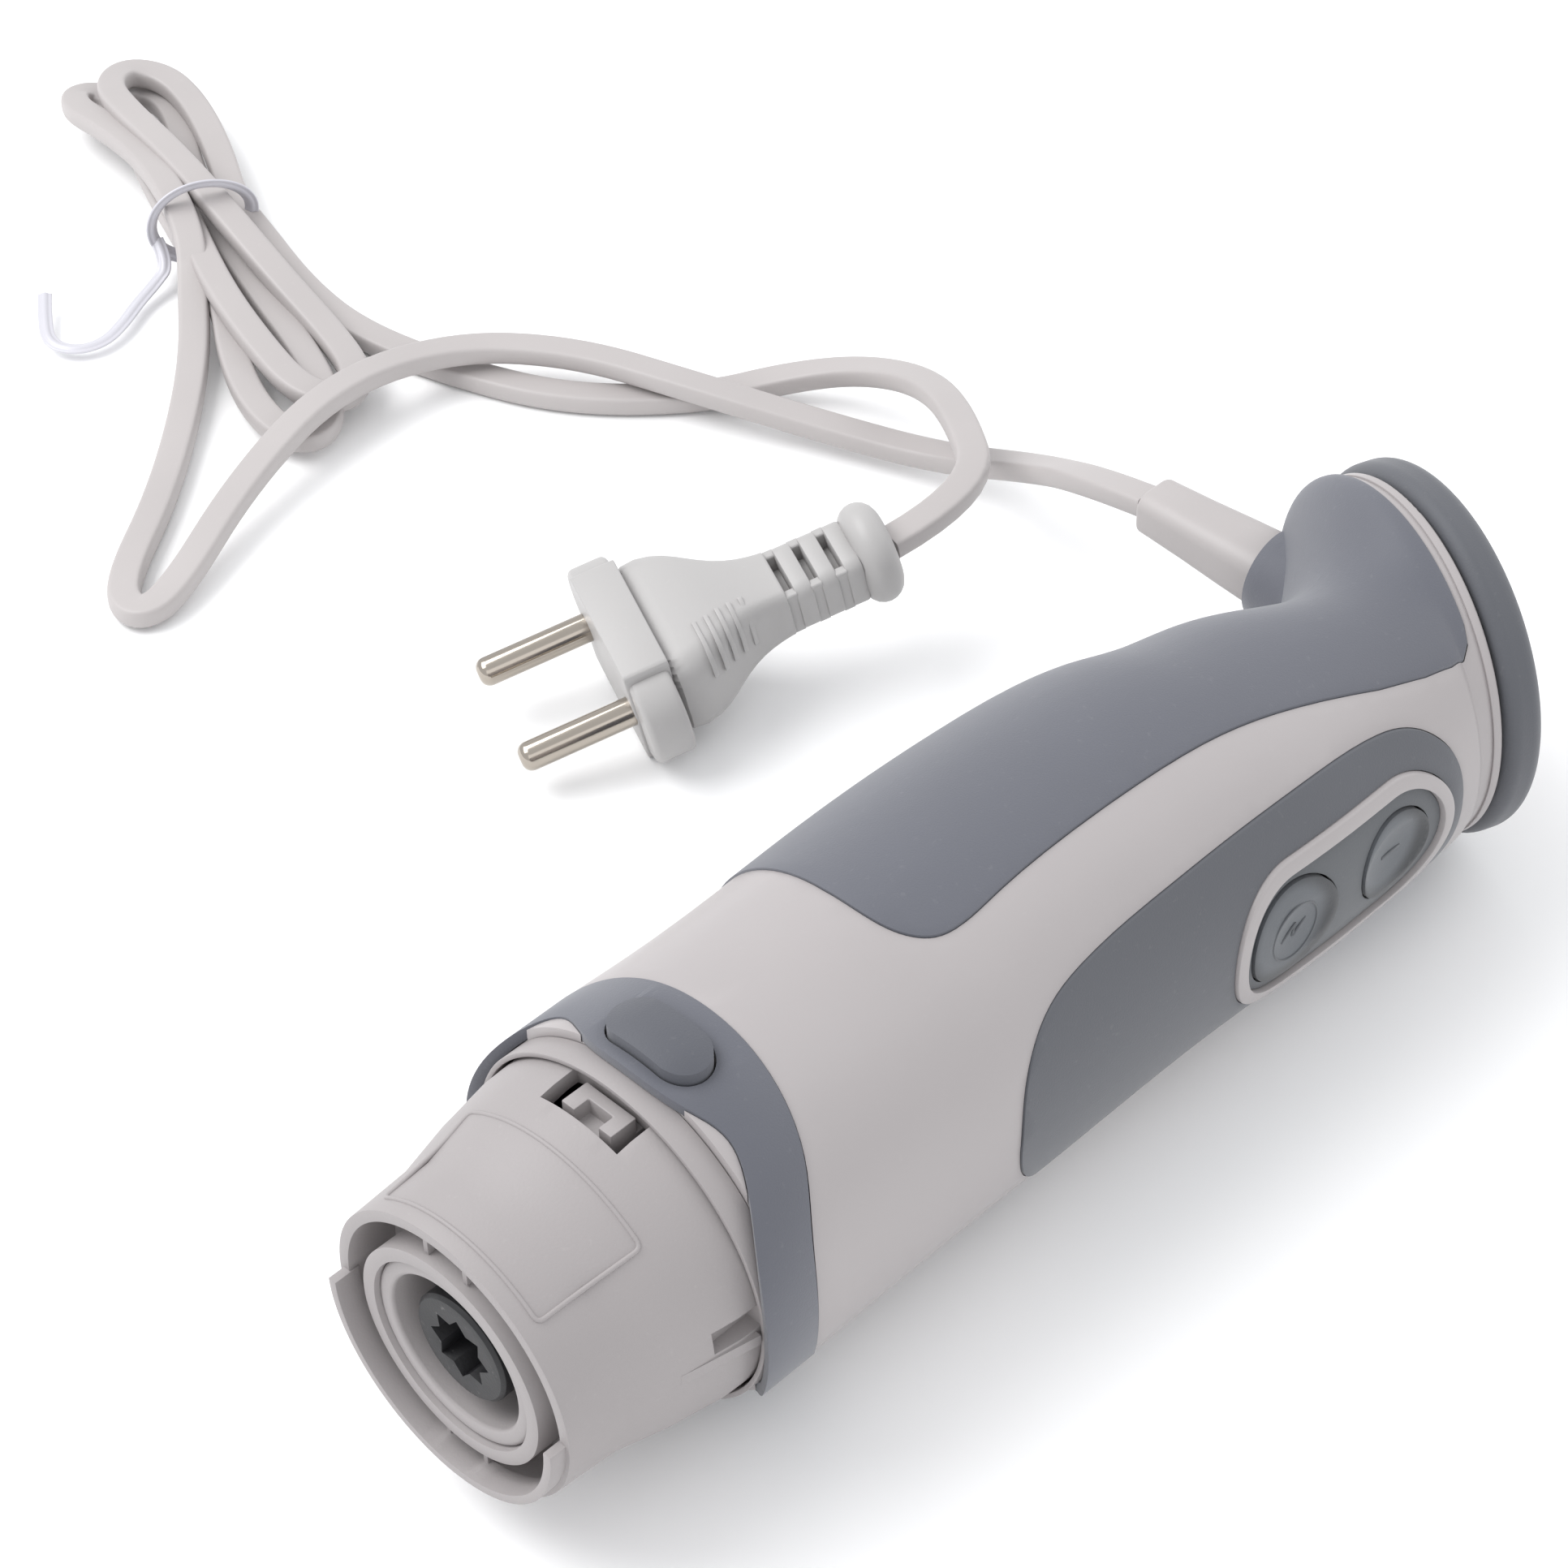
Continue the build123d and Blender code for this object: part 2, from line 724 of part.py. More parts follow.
with BuildPart() as coupling:
    with BuildSketch(across(coupling_front)):
        Circle(coupling_r)
    extrude(amount=coupling_l)
    chamfer(coupling.edges(), 0.5)
    star = []
    for i in range(16):
        reach = star_r if i % 2 == 0 else star_root_r
        star.append((reach * math.cos(math.pi * i / 8), reach * math.sin(math.pi * i / 8)))
    with BuildSketch(across(coupling_front - 0.1)):
        Polygon(*star, align=None)
    extrude(amount=star_depth + 0.1, mode=Mode.SUBTRACT)
    with BuildSketch(across(shaft_start - 0.1)):
        Circle(shaft_r + press)
    extrude(amount=10, mode=Mode.SUBTRACT)
coupling.part.label = "drive_coupling"
export_step(coupling.part, "parts/drive_coupling.step")

with BuildPart() as fan:
    with BuildSketch(across(fan_u)):
        Circle(fan_r)
    extrude(amount=1.4)
    with BuildSketch(across(fan_u)):
        Circle(6)
    extrude(amount=fan_l)
    with BuildSketch(across(fan_u + 1.2)):
        with PolarLocations(12.2, 9):
            Rectangle(13, 1.2, rotation=24)
    extrude(amount=fan_l - 1.2)
    with BuildSketch(across(fan_u - 1)):
        Circle(shaft_r + press)
    extrude(amount=fan_l + 2, mode=Mode.SUBTRACT)
fan.part.label = "fan"
export_step(fan.part, "parts/fan.step")
print("fan", len(fan.part.solids()))

with BuildPart() as stator:
    with BuildSketch(across(stator_u)):
        Circle(stator_r)
        Circle(yoke_r, mode=Mode.SUBTRACT)
        with BuildSketch(mode=Mode.PRIVATE) as shoes:
            Circle(yoke_r + 0.5)
            Circle(rotor_r + air_gap, mode=Mode.SUBTRACT)
            Polygon((0, 0), (40, 30), (40, -30), align=None, mode=Mode.INTERSECT)
        add(shoes.sketch)
        add(shoes.sketch.rotate(Axis.Z, 180))
    extrude(amount=stator_l)
stator.part.label = "stator_core"
export_step(stator.part, "parts/stator_core.step")
print("stator", len(stator.part.solids()))

for word, side in (("upper", 1), ("lower", -1)):
    with BuildPart() as coil:
        with BuildSketch(across(stator_u - 4)):
            Circle(yoke_r - seat)
            Circle(rotor_r + air_gap + 0.5, mode=Mode.SUBTRACT)
            Polygon((0, 0), (38, side * 40), (-38, side * 40), align=None, mode=Mode.INTERSECT)
        extrude(amount=stator_l + 8)
    coil.part.label = "field_coil_" + word
    export_step(coil.part, "parts/field_coil_" + word + ".step")

with BuildPart() as rotor:
    with BuildSketch(across(stator_u + 1)):
        Circle(rotor_r)
        Circle(shaft_r + press, mode=Mode.SUBTRACT)
        with PolarLocations(10.6, rotor_slots):
            Rectangle(6, 2.2, mode=Mode.SUBTRACT)
    extrude(amount=stator_l - 2)
rotor.part.label = "rotor_core"
export_step(rotor.part, "parts/rotor_core.step")
print("rotor", len(rotor.part.solids()))

with BuildPart() as windings:
    with BuildSketch(across(stator_u - 3)):
        with PolarLocations(10.4, rotor_slots):
            Rectangle(4.8, 2.1)
    extrude(amount=stator_l + 6)
    for ring_u in (stator_u - 3.5, stator_u + stator_l - 0.9):
        with BuildSketch(across(ring_u)):
            Circle(12.4)
            Circle(shaft_r + 1.2, mode=Mode.SUBTRACT)
        extrude(amount=4.4)
windings.part.label = "rotor_windings"
export_step(windings.part, "parts/rotor_windings.step")
print("windings", len(windings.part.solids()))

with BuildPart() as commutator:
    with BuildSketch(across(commutator_u)):
        Circle(commutator_r)
        Circle(shaft_r + press, mode=Mode.SUBTRACT)
        with PolarLocations(commutator_r, 24):
            Rectangle(1.6, 0.35, mode=Mode.SUBTRACT)
    extrude(amount=commutator_l)
commutator.part.label = "commutator"
export_step(commutator.part, "parts/commutator.step")

for word, side in (("upper", 1), ("lower", -1)):
    with BuildPart() as holder:
        with BuildSketch(up_from(brush_u + 1.5, 0, commutator_r + 0.8, side)):
            Rectangle(12.6, 8)
        extrude(amount=12.4)
        with BuildSketch(up_from(brush_u, 0, commutator_r + 0.7, side)):
            Rectangle(6.4, 5.4)
        extrude(amount=11.3, mode=Mode.SUBTRACT)
    holder.part.label = "brush_holder_" + word
    export_step(holder.part, "parts/brush_holder_" + word + ".step")

    with BuildPart() as brush:
        with BuildSketch(up_from(brush_u, 0, commutator_r + 0.3, side)):
            Rectangle(6.2, 5.2)
        extrude(amount=7.4)
    brush.part.label = "carbon_brush_" + word
    export_step(brush.part, "parts/carbon_brush_" + word + ".step")

    with BuildPart() as brush_spring:
        with BuildLine() as coil_line:
            Helix(
                pitch=1.1,
                height=3.2,
                radius=1.9,
                center=(nose_x + brush_u, axis_y, axis_h + side * (commutator_r + 8.1)),
                direction=(0, 0, side),
            )
        with BuildSketch(Plane(origin=coil_line.line @ 0, z_dir=coil_line.line % 0)):
            Circle(0.3)
        sweep(path=coil_line.line, is_frenet=True)
    brush_spring.part.label = "brush_spring_" + word
    export_step(brush_spring.part, "parts/brush_spring_" + word + ".step")

motor_mounts = [("motor_mount_front", 63.0, stator_r), ("motor_mount_rear", rear_bracket_u + 0.1, 21.5)]
for name, mount_u, inner_r in motor_mounts:
    with BuildPart() as rubber:
        with BuildSketch(across(mount_u)):
            Circle(25.3)
            Circle(inner_r + 0.1, mode=Mode.SUBTRACT)
        extrude(amount=3.2)
    rubber.part.label = name
    export_step(rubber.part, "parts/" + name + ".step")

# strain relief, cord clamp and inner leads
with BuildPart() as boot:
    add(boot_shape(0))
    fillet(boot.edges().group_by(Axis.Y)[-1], 0.5)
boot.part.label = "strain_relief"
export_step(boot.part, "parts/strain_relief.step")

with BuildPart() as clamp:
    with BuildSketch(Plane.XZ.offset(-axis_y - clamp_in)):
        with Locations((nose_x + clamp_u, axis_h)):
            RectangleRounded(6.8, 15, 1)
    extrude(amount=-(boot_in - clamp_in - 0.1))
    with BuildSketch(Plane.XZ.offset(-axis_y - clamp_in + 1)):
        with Locations((nose_x + clamp_u, axis_h)):
            with GridLocations(0, 11, 1, 2):
                Circle(1.25)
    extrude(amount=-8, mode=Mode.SUBTRACT)
    add(handle_shape(-wall - 0.1), mode=Mode.INTERSECT)
clamp.part.label = "cord_clamp"
export_step(clamp.part, "parts/cord_clamp.step")

for word, side in (("upper", 1), ("lower", -1)):
    with BuildPart() as screw:
        with BuildSketch(Plane.XZ.offset(-axis_y - clamp_in + 1.5)):
            with Locations((nose_x + clamp_u, axis_h + side * 5.5)):
                Circle(1.9)
        extrude(amount=-1.4)
        with BuildSketch(Plane.XZ.offset(-axis_y - clamp_in + 0.5)):
            with Locations((nose_x + clamp_u, axis_h + side * 5.5)):
                Circle(1.2)
        extrude(amount=-(boot_in - clamp_in + 0.4))
    screw.part.label = "clamp_screw_" + word
    export_step(screw.part, "parts/clamp_screw_" + word + ".step")

    with BuildPart() as lead:
        with BuildLine() as lead_line:
            FilletPolyline(
                (nose_x + 186, axis_y + 10.5, axis_h + side * 1.8),
                (nose_x + 181, axis_y + 8.5, axis_h + side * 5.4),
                (nose_x + 173, axis_y + 1, axis_h + side * 14),
                (nose_x + 163, axis_y - 6, axis_h + side * 8),
                (nose_x + 161, axis_y - 10.8, axis_h + side * 7),
                radius=2.4,
            )
        with BuildSketch(Plane(origin=lead_line.line @ 0, z_dir=lead_line.line % 0)):
            Circle(0.9)
        sweep(path=lead_line.line)
    lead.part.label = "inner_lead_" + word
    export_step(lead.part, "parts/inner_lead_" + word + ".step")

# cord stretches, hank and tie
handle_run = [
    (boot_u, 47.5, axis_h),
    (189.5, 60.0, 27.0),
    (197.5, 79.0, 14.5),
    (198.0, 101.0, 4.2),
    (190.0, 122.5, 4.6),
    (181.5, 143.5, 6.4),
    (174.5, 166.0, 6.4),
    (160.5, 182.5, 6.8),
    (136.0, 185.0, 9.8),
    (110.0, 178.0, 6.6),
    (80.0, 165.5, 2.6),
    (76.5, 172.0, 2.2),
    (104.0, 191.5, 2.2),
    (128.0, 213.5, 3.2),
    (143.0, 232.0, 6.0),
]
plug_run = [
    (161.0, 236.0, 5.0),
    (157.0, 219.0, 2.6),
    (155.5, 202.0, 2.0),
    (160.0, 181.0, 2.0),
    (168.0, 161.0, 2.0),
    (184.0, 144.5, 2.0),
    (197.0, 135.5, 4.2),
    (202.5, 123.0, 9.2),
    (201.5, 107.5, 15.2),
    (193.0, 92.0, 20.6),
    (178.5, 73.5, 24.2),
    (160.95, 77.5, 21.42),
]


def placed(points):
    return [(nose_x + u, axis_y + y, z) for u, y, z in points]




# the coiled middle of the lead, lying flat and tied at its waist
hank_foot = Vector(nose_x + 132.3, axis_y + 183.7, 0)
hank_way = Vector(0.343, 0.939, 0).normalized()
hank_side = Vector(-hank_way.Y, hank_way.X, 0)
hank_sections = [(0.0, 6.0, 3.0, 3.2), (6.0, 10.5, 4.2, 4.4), (24.0, 13.0, 5.2, 5.6), (46.0, 10.0, 5.8, 7.2)]
hank_sections = hank_sections + [(62.0, 8.2, 5.8, 7.9), (78.0, 10.0, 5.8, 7.2), (98.0, 13.0, 5.0, 5.6)]
hank_sections = hank_sections + [(112.0, 12.0, 4.2, 4.6), (119.0, 7.0, 3.0, 3.4)]
with BuildPart() as hank:
    for along, half_w, half_h, middle_z in hank_sections:
        foot = hank_foot + hank_way * along + Vector(0, 0, middle_z)
        with BuildSketch(Plane(origin=foot, x_dir=hank_side, z_dir=hank_way)):
            Ellipse(half_w, half_h)
    loft()
hank.part.label = "cord_hank"
export_step(hank.part, "parts/cord_hank.step")
print("hank", len(hank.part.solids()), round(hank.part.volume))

with BuildPart() as cord_a:
    add(mains_tube(placed(handle_run)))
    add(hank.part, mode=Mode.SUBTRACT)
cord_a.part.label = "cord_to_hank"
export_step(cord_a.part, "parts/cord_to_hank.step")

with BuildPart() as cord_b:
    add(mains_tube(placed(plug_run)))
    add(hank.part, mode=Mode.SUBTRACT)
cord_b.part.label = "cord_to_plug"
export_step(cord_b.part, "parts/cord_to_plug.step")
print("cords", len(cord_a.part.solids()), len(cord_b.part.solids()))

tie_at = hank_foot + hank_way * 62.0
with BuildPart() as tie:
    loop_at = tie_at - hank_way * 1.2 + Vector(0, 0, 8.1)
    with BuildSketch(Plane(origin=loop_at, x_dir=hank_side, z_dir=hank_way)):
        Ellipse(9.9, 7.9)
        Ellipse(9.0, 7.0, mode=Mode.SUBTRACT)
    extrude(amount=2.4)
    with BuildLine() as tail_line:
        FilletPolyline(
            tuple(tie_at + hank_side * 9.5 + Vector(0, 0, 6.0)),
            (nose_x + 144, axis_y + 240, 3.0),
            (nose_x + 135, axis_y + 233, 2.0),
            (nose_x + 121, axis_y + 231, 1.7),
            (nose_x + 115, axis_y + 241, 1.7),
            (nose_x + 122, axis_y + 251, 3.2),
            radius=3,
        )
    with BuildSketch(Plane(origin=tail_line.line @ 0, z_dir=tail_line.line % 0)):
        Circle(0.9)
    sweep(path=tail_line.line)
tie.part.label = "twist_tie"
export_step(tie.part, "parts/twist_tie.step")
print("tie", len(tie.part.solids()))

# plug: local x across the pins, local y up, z from the pin face to the tail
turn = math.radians(plug_turn)
rise = math.radians(plug_rise)
roll = math.radians(plug_roll)
plug_way = Vector(math.cos(rise) * math.cos(turn), math.cos(rise) * math.sin(turn), math.sin(rise))
plug_level = Vector(math.sin(turn), -math.cos(turn), 0)
plug_across = plug_level * math.cos(roll) - plug_level.cross(plug_way) * math.sin(roll)
plug_up = plug_across.cross(plug_way)


def plug_plane(along):
    spot = Vector(plug_x, plug_y, plug_z) + plug_way * along
    return Plane(origin=spot, x_dir=plug_across, z_dir=plug_way)


with BuildPart() as plug:
    with BuildSketch(plug_plane(0)):
        RectangleRounded(plug_flange_w, plug_flange_h - 3.0, 8.5)
        RectangleRounded(20, plug_flange_h, 1.2)
    extrude(amount=plug_flange_l)
    with BuildSketch(plug_plane(plug_flange_l - 0.5)):
        RectangleRounded(28.5, 17, 7)
    with BuildSketch(plug_plane(plug_flange_l + 8.0)):
        RectangleRounded(27, 17, 7)
    with BuildSketch(plug_plane(plug_flange_l + 16.0)):
        RectangleRounded(15.5, 13, 5.5)
    with BuildSketch(plug_plane(plug_flange_l + 20.5)):
        RectangleRounded(12, 10.5, 4.5)
    loft()
    with BuildSketch(plug_plane(plug_flange_l + 20)):
        RectangleRounded(11.4, 9.9, 4.3)
    extrude(amount=15)
    for ring in range(3):
        with BuildSketch(plug_plane(plug_flange_l + 21.6 + 4.2 * ring)):
            with Locations((0, -5.5), (0, 5.5)):
                Rectangle(6.2, 3.6)
            with Locations((-6.2, 0), (6.2, 0)):
                Rectangle(3.6, 5.6)
        extrude(amount=1.4, mode=Mode.SUBTRACT)
    disc_spot = Vector(plug_x, plug_y, plug_z) + plug_way * (plug_tail - 3.2)
    with BuildSketch(Plane(origin=disc_spot, x_dir=plug_way, z_dir=plug_across)) as disc_profile:
        Rectangle(6.4, 8.3, align=(Align.CENTER, Align.MIN))
        fillet(disc_profile.vertices().group_by(Axis.Y)[-1], 2.6)
    revolve(axis=Axis(disc_spot, plug_way))
plug.part.label = "plug_body"
export_step(plug.part, "parts/plug_body.step")
print("plug", len(plug.part.solids()), round(plug.part.volume), plug.part.bounding_box().min.Z)

for word, side in (("left", 1), ("right", -1)):
    with BuildPart() as pin:
        with BuildSketch(plug_plane(-pin_l)):
            with Locations((side * pin_pitch / 2, 0)):
                Circle(pin_r)
        extrude(amount=pin_l - 0.02)
        fillet(pin.edges().filter_by(GeomType.CIRCLE).sort_by(Axis(plug_plane(0).origin, plug_way))[0], 1.6)
    pin.part.label = "plug_pin_" + word
    export_step(pin.part, "parts/plug_pin_" + word + ".step")
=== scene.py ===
import bpy
import json
import math
from mathutils import Matrix, Vector


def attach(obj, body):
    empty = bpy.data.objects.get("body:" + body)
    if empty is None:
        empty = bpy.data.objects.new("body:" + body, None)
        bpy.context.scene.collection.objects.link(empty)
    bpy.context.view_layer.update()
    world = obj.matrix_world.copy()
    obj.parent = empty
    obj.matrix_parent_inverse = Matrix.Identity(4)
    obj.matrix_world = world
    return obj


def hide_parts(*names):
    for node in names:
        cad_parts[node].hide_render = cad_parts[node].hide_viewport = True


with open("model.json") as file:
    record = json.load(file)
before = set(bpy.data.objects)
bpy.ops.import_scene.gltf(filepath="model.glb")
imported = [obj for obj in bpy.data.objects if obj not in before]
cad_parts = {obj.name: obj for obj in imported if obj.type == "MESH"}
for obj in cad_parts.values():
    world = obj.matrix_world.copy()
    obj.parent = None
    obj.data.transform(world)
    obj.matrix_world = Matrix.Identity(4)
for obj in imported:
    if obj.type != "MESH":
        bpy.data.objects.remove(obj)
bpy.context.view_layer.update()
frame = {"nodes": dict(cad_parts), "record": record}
cadNodes = frame["nodes"]
mm = 0.001

# where the handle lies: the bore face, the motor axis and the cap
place = {"noseX": -100.22, "axisY": 1.32, "axisZ": 29.97, "capU": 185.7, "capV": -2.4, "capLean": 20.7}


def spot(u, y, z):  # a point by its distance from the bore face, its offset from the axis and its height
    return Vector(((place["noseX"] + u) * mm, (place["axisY"] + y) * mm, z * mm))


def nothingSelected():
    if bpy.context.mode != "OBJECT":
        bpy.ops.object.mode_set(mode="OBJECT")
    bpy.ops.object.select_all(action="DESELECT")


def only(thing):
    nothingSelected()
    thing.select_set(True)
    bpy.context.view_layer.objects.active = thing


def editFaces(piece, wanted):  # opens a piece in edit mode with just the faces that pass the test
    only(piece)
    bpy.ops.object.mode_set(mode="EDIT")
    bpy.ops.mesh.select_mode(type="FACE")
    bpy.ops.mesh.select_all(action="DESELECT")
    bpy.ops.object.mode_set(mode="OBJECT")
    for face in piece.data.polygons:
        face.select = wanted(face)
    bpy.ops.object.mode_set(mode="EDIT")


def editEdges(piece, wanted):  # the same for edges, tested by their two ends
    only(piece)
    bpy.ops.object.mode_set(mode="EDIT")
    bpy.ops.mesh.select_mode(type="EDGE")
    bpy.ops.mesh.select_all(action="DESELECT")
    bpy.ops.object.mode_set(mode="OBJECT")
    ends = [v.co.copy() for v in piece.data.vertices]
    for side in piece.data.edges:
        side.select = wanted(ends[side.vertices[0]], ends[side.vertices[1]])
    bpy.ops.object.mode_set(mode="EDIT")


def placeIntoMesh(piece):
    only(piece)
    bpy.ops.object.transform_apply(location=True, rotation=True, scale=True)


def joined(name, pieces):  # several pieces made one
    only(pieces[0])
    for piece in pieces:
        piece.select_set(True)
    if len(pieces) > 1:
        bpy.ops.object.join()
    whole = bpy.context.object
    whole.name = name
    return whole


# camera
camera = {
    "stands": (-0.29326, -0.26116, 0.42707),
    "looksAt": (0.02637, 0.06895, -0.00088),
    "lens": 92.46,
    "roll": -1.737,
    "sensor": 36,
}
back = (Vector(camera["stands"]) - Vector(camera["looksAt"])).normalized()
level = Vector((0, 0, 1)).cross(back).normalized()
upright = back.cross(level)
roll = math.radians(camera["roll"])
right = level * math.cos(roll) + upright * math.sin(roll)
above = upright * math.cos(roll) - level * math.sin(roll)
nothingSelected()
bpy.ops.object.camera_add(location=camera["stands"])
studioCamera = bpy.context.object
studioCamera.name = "studioCamera"
studioCamera.rotation_euler = Matrix((right, above, back)).transposed().to_euler()
studioCamera.data.lens = camera["lens"]
studioCamera.data.sensor_width = camera["sensor"]
studioCamera.data.clip_start = 0.02
bpy.context.scene.camera = studioCamera
print("camera placed")

# soft studio light over a pale floor
light = {"sky": 0.95, "skyColour": (0.97, 0.98, 1.0, 1), "key": 8.0, "fill": 1.2, "front": 0.8}
bpy.context.scene.view_settings.view_transform = "Standard"
sky = bpy.data.worlds.new("softSky")
sky.use_nodes = True
skyShader = sky.node_tree.nodes["Background"]
skyShader.inputs["Color"].default_value = light["skyColour"]
skyShader.inputs["Strength"].default_value = light["sky"]
bpy.context.scene.world = sky


def softBox(name, where, aim, size, power):
    nothingSelected()
    bpy.ops.object.light_add(type="AREA", location=where)
    lamp = bpy.context.object
    lamp.name = name
    lamp.data.shape = "RECTANGLE"
    lamp.data.size = size[0]
    lamp.data.size_y = size[1]
    lamp.data.energy = power
    lamp.rotation_euler = (Vector(where) - Vector(aim)).to_track_quat("Z", "Y").to_euler()


softBox("keyBox", (-0.35, 0.55, 0.85), (0.02, 0.05, 0.02), (0.9, 0.6), light["key"])
softBox("fillBox", (0.75, -0.25, 0.55), (0.02, 0.05, 0.02), (0.6, 0.6), light["fill"])
softBox("frontBox", (-0.55, -0.6, 0.6), (0.0, 0.02, 0.02), (0.8, 0.5), light["front"])


# shared surface effects
def socketOf(group, name, way, kind, value=None):
    made = group.interface.new_socket(name=name, in_out=way, socket_type=kind)
    if value is not None:
        made.default_value = value
    return made


def makeMouldedSkin():  # fine grain, slow shade drift and a little dust for plastics and soft skins
    group = bpy.data.node_groups.new("mouldedSkin", "ShaderNodeTree")
    socketOf(group, "Shade", "INPUT", "NodeSocketColor", (0.8, 0.8, 0.8, 1))
    socketOf(group, "Grain Size", "INPUT", "NodeSocketFloat", 2600.0)
    socketOf(group, "Drift", "INPUT", "NodeSocketFloat", 0.04)
    socketOf(group, "Dust", "INPUT", "NodeSocketFloat", 0.1)
    socketOf(group, "Gloss", "INPUT", "NodeSocketFloat", 0.4)
    socketOf(group, "Color", "OUTPUT", "NodeSocketColor")
    socketOf(group, "Roughness", "OUTPUT", "NodeSocketFloat")
    socketOf(group, "Height", "OUTPUT", "NodeSocketFloat")
    tree = group.nodes
    wires = group.links
    entry = tree.new("NodeGroupInput")
    leave = tree.new("NodeGroupOutput")
    where = tree.new("ShaderNodeTexCoord")
    grain = tree.new("ShaderNodeTexNoise")
    grain.inputs["Detail"].default_value = 3
    slow = tree.new("ShaderNodeTexNoise")
    slow.inputs["Scale"].default_value = 38
    slow.inputs["Detail"].default_value = 4
    specks = tree.new("ShaderNodeTexNoise")
    specks.inputs["Scale"].default_value = 900
    specks.inputs["Detail"].default_value = 2
    for texture in (grain, slow, specks):
        wires.new(where.outputs["Object"], texture.inputs["Vector"])
    wires.new(entry.outputs["Grain Size"], grain.inputs["Scale"])
    drift = tree.new("ShaderNodeMapRange")
    wires.new(slow.outputs["Fac"], drift.inputs["Value"])
    drift.inputs["From Min"].default_value = 0.3
    drift.inputs["From Max"].default_value = 0.7
    low = tree.new("ShaderNodeMath")
    low.operation = "SUBTRACT"
    low.inputs[0].default_value = 1.0
    wires.new(entry.outputs["Drift"], low.inputs[1])
    wires.new(low.outputs[0], drift.inputs["To Min"])
    drift.inputs["To Max"].default_value = 1.0
    shaded = tree.new("ShaderNodeVectorMath")
    shaded.operation = "SCALE"
    wires.new(entry.outputs["Shade"], shaded.inputs[0])
    wires.new(drift.outputs["Result"], shaded.inputs["Scale"])
    dusty = tree.new("ShaderNodeMapRange")
    wires.new(specks.outputs["Fac"], dusty.inputs["Value"])
    dusty.inputs["From Min"].default_value = 0.66
    dusty.inputs["From Max"].default_value = 0.78
    dustMask = tree.new("ShaderNodeMath")
    dustMask.operation = "MULTIPLY"
    wires.new(dusty.outputs["Result"], dustMask.inputs[0])
    wires.new(entry.outputs["Dust"], dustMask.inputs[1])
    dusted = tree.new("ShaderNodeMix")
    dusted.data_type = "RGBA"
    wires.new(dustMask.outputs[0], dusted.inputs["Factor"])
    wires.new(shaded.outputs[0], dusted.inputs["A"])
    dusted.inputs["B"].default_value = (0.72, 0.70, 0.67, 1)
    wires.new(dusted.outputs["Result"], leave.inputs["Color"])
    rough = tree.new("ShaderNodeMapRange")
    wires.new(slow.outputs["Fac"], rough.inputs["Value"])
    rough.inputs["From Min"].default_value = 0.3
    rough.inputs["From Max"].default_value = 0.7
    wires.new(entry.outputs["Gloss"], rough.inputs["To Min"])
    duller = tree.new("ShaderNodeMath")
    duller.inputs[1].default_value = 0.06
    wires.new(entry.outputs["Gloss"], duller.inputs[0])
    wires.new(duller.outputs[0], rough.inputs["To Max"])
    wires.new(rough.outputs["Result"], leave.inputs["Roughness"])
    wires.new(grain.outputs["Fac"], leave.inputs["Height"])
    return group


def makeBrushedMetal():  # fine lines along one axis with a little tarnish
    group = bpy.data.node_groups.new("brushedMetal", "ShaderNodeTree")
    socketOf(group, "Shade", "INPUT", "NodeSocketColor", (0.7, 0.7, 0.7, 1))
    socketOf(group, "Stretch", "INPUT", "NodeSocketVector", (40.0, 1500.0, 1500.0))
    socketOf(group, "Tarnish", "INPUT", "NodeSocketFloat", 0.2)
    socketOf(group, "Gloss", "INPUT", "NodeSocketFloat", 0.25)
    socketOf(group, "Color", "OUTPUT", "NodeSocketColor")
    socketOf(group, "Roughness", "OUTPUT", "NodeSocketFloat")
    socketOf(group, "Height", "OUTPUT", "NodeSocketFloat")
    tree = group.nodes
    wires = group.links
    entry = tree.new("NodeGroupInput")
    leave = tree.new("NodeGroupOutput")
    where = tree.new("ShaderNodeTexCoord")
    longer = tree.new("ShaderNodeVectorMath")
    longer.operation = "MULTIPLY"
    wires.new(where.outputs["Object"], longer.inputs[0])
    wires.new(entry.outputs["Stretch"], longer.inputs[1])
    lines = tree.new("ShaderNodeTexNoise")
    lines.inputs["Scale"].default_value = 1
    lines.inputs["Detail"].default_value = 4
    wires.new(longer.outputs[0], lines.inputs["Vector"])
    spots = tree.new("ShaderNodeTexNoise")
    spots.inputs["Scale"].default_value = 160
    spots.inputs["Detail"].default_value = 5
    wires.new(where.outputs["Object"], spots.inputs["Vector"])
    stain = tree.new("ShaderNodeMath")
    stain.operation = "MULTIPLY"
    wires.new(spots.outputs["Fac"], stain.inputs[0])
    wires.new(entry.outputs["Tarnish"], stain.inputs[1])
    darker = tree.new("ShaderNodeMix")
    darker.data_type = "RGBA"
    wires.new(stain.outputs[0], darker.inputs["Factor"])
    wires.new(entry.outputs["Shade"], darker.inputs["A"])
    darker.inputs["B"].default_value = (0.16, 0.13, 0.10, 1)
    wires.new(darker.outputs["Result"], leave.inputs["Color"])
    rough = tree.new("ShaderNodeMath")
    rough.operation = "MULTIPLY_ADD"
    wires.new(lines.outputs["Fac"], rough.inputs[0])
    rough.inputs[1].default_value = 0.08
    wires.new(entry.outputs["Gloss"], rough.inputs[2])
    wires.new(rough.outputs[0], leave.inputs["Roughness"])
    wires.new(lines.outputs["Fac"], leave.inputs["Height"])
    return group


mouldedSkin = makeMouldedSkin()
brushedMetal = makeBrushedMetal()


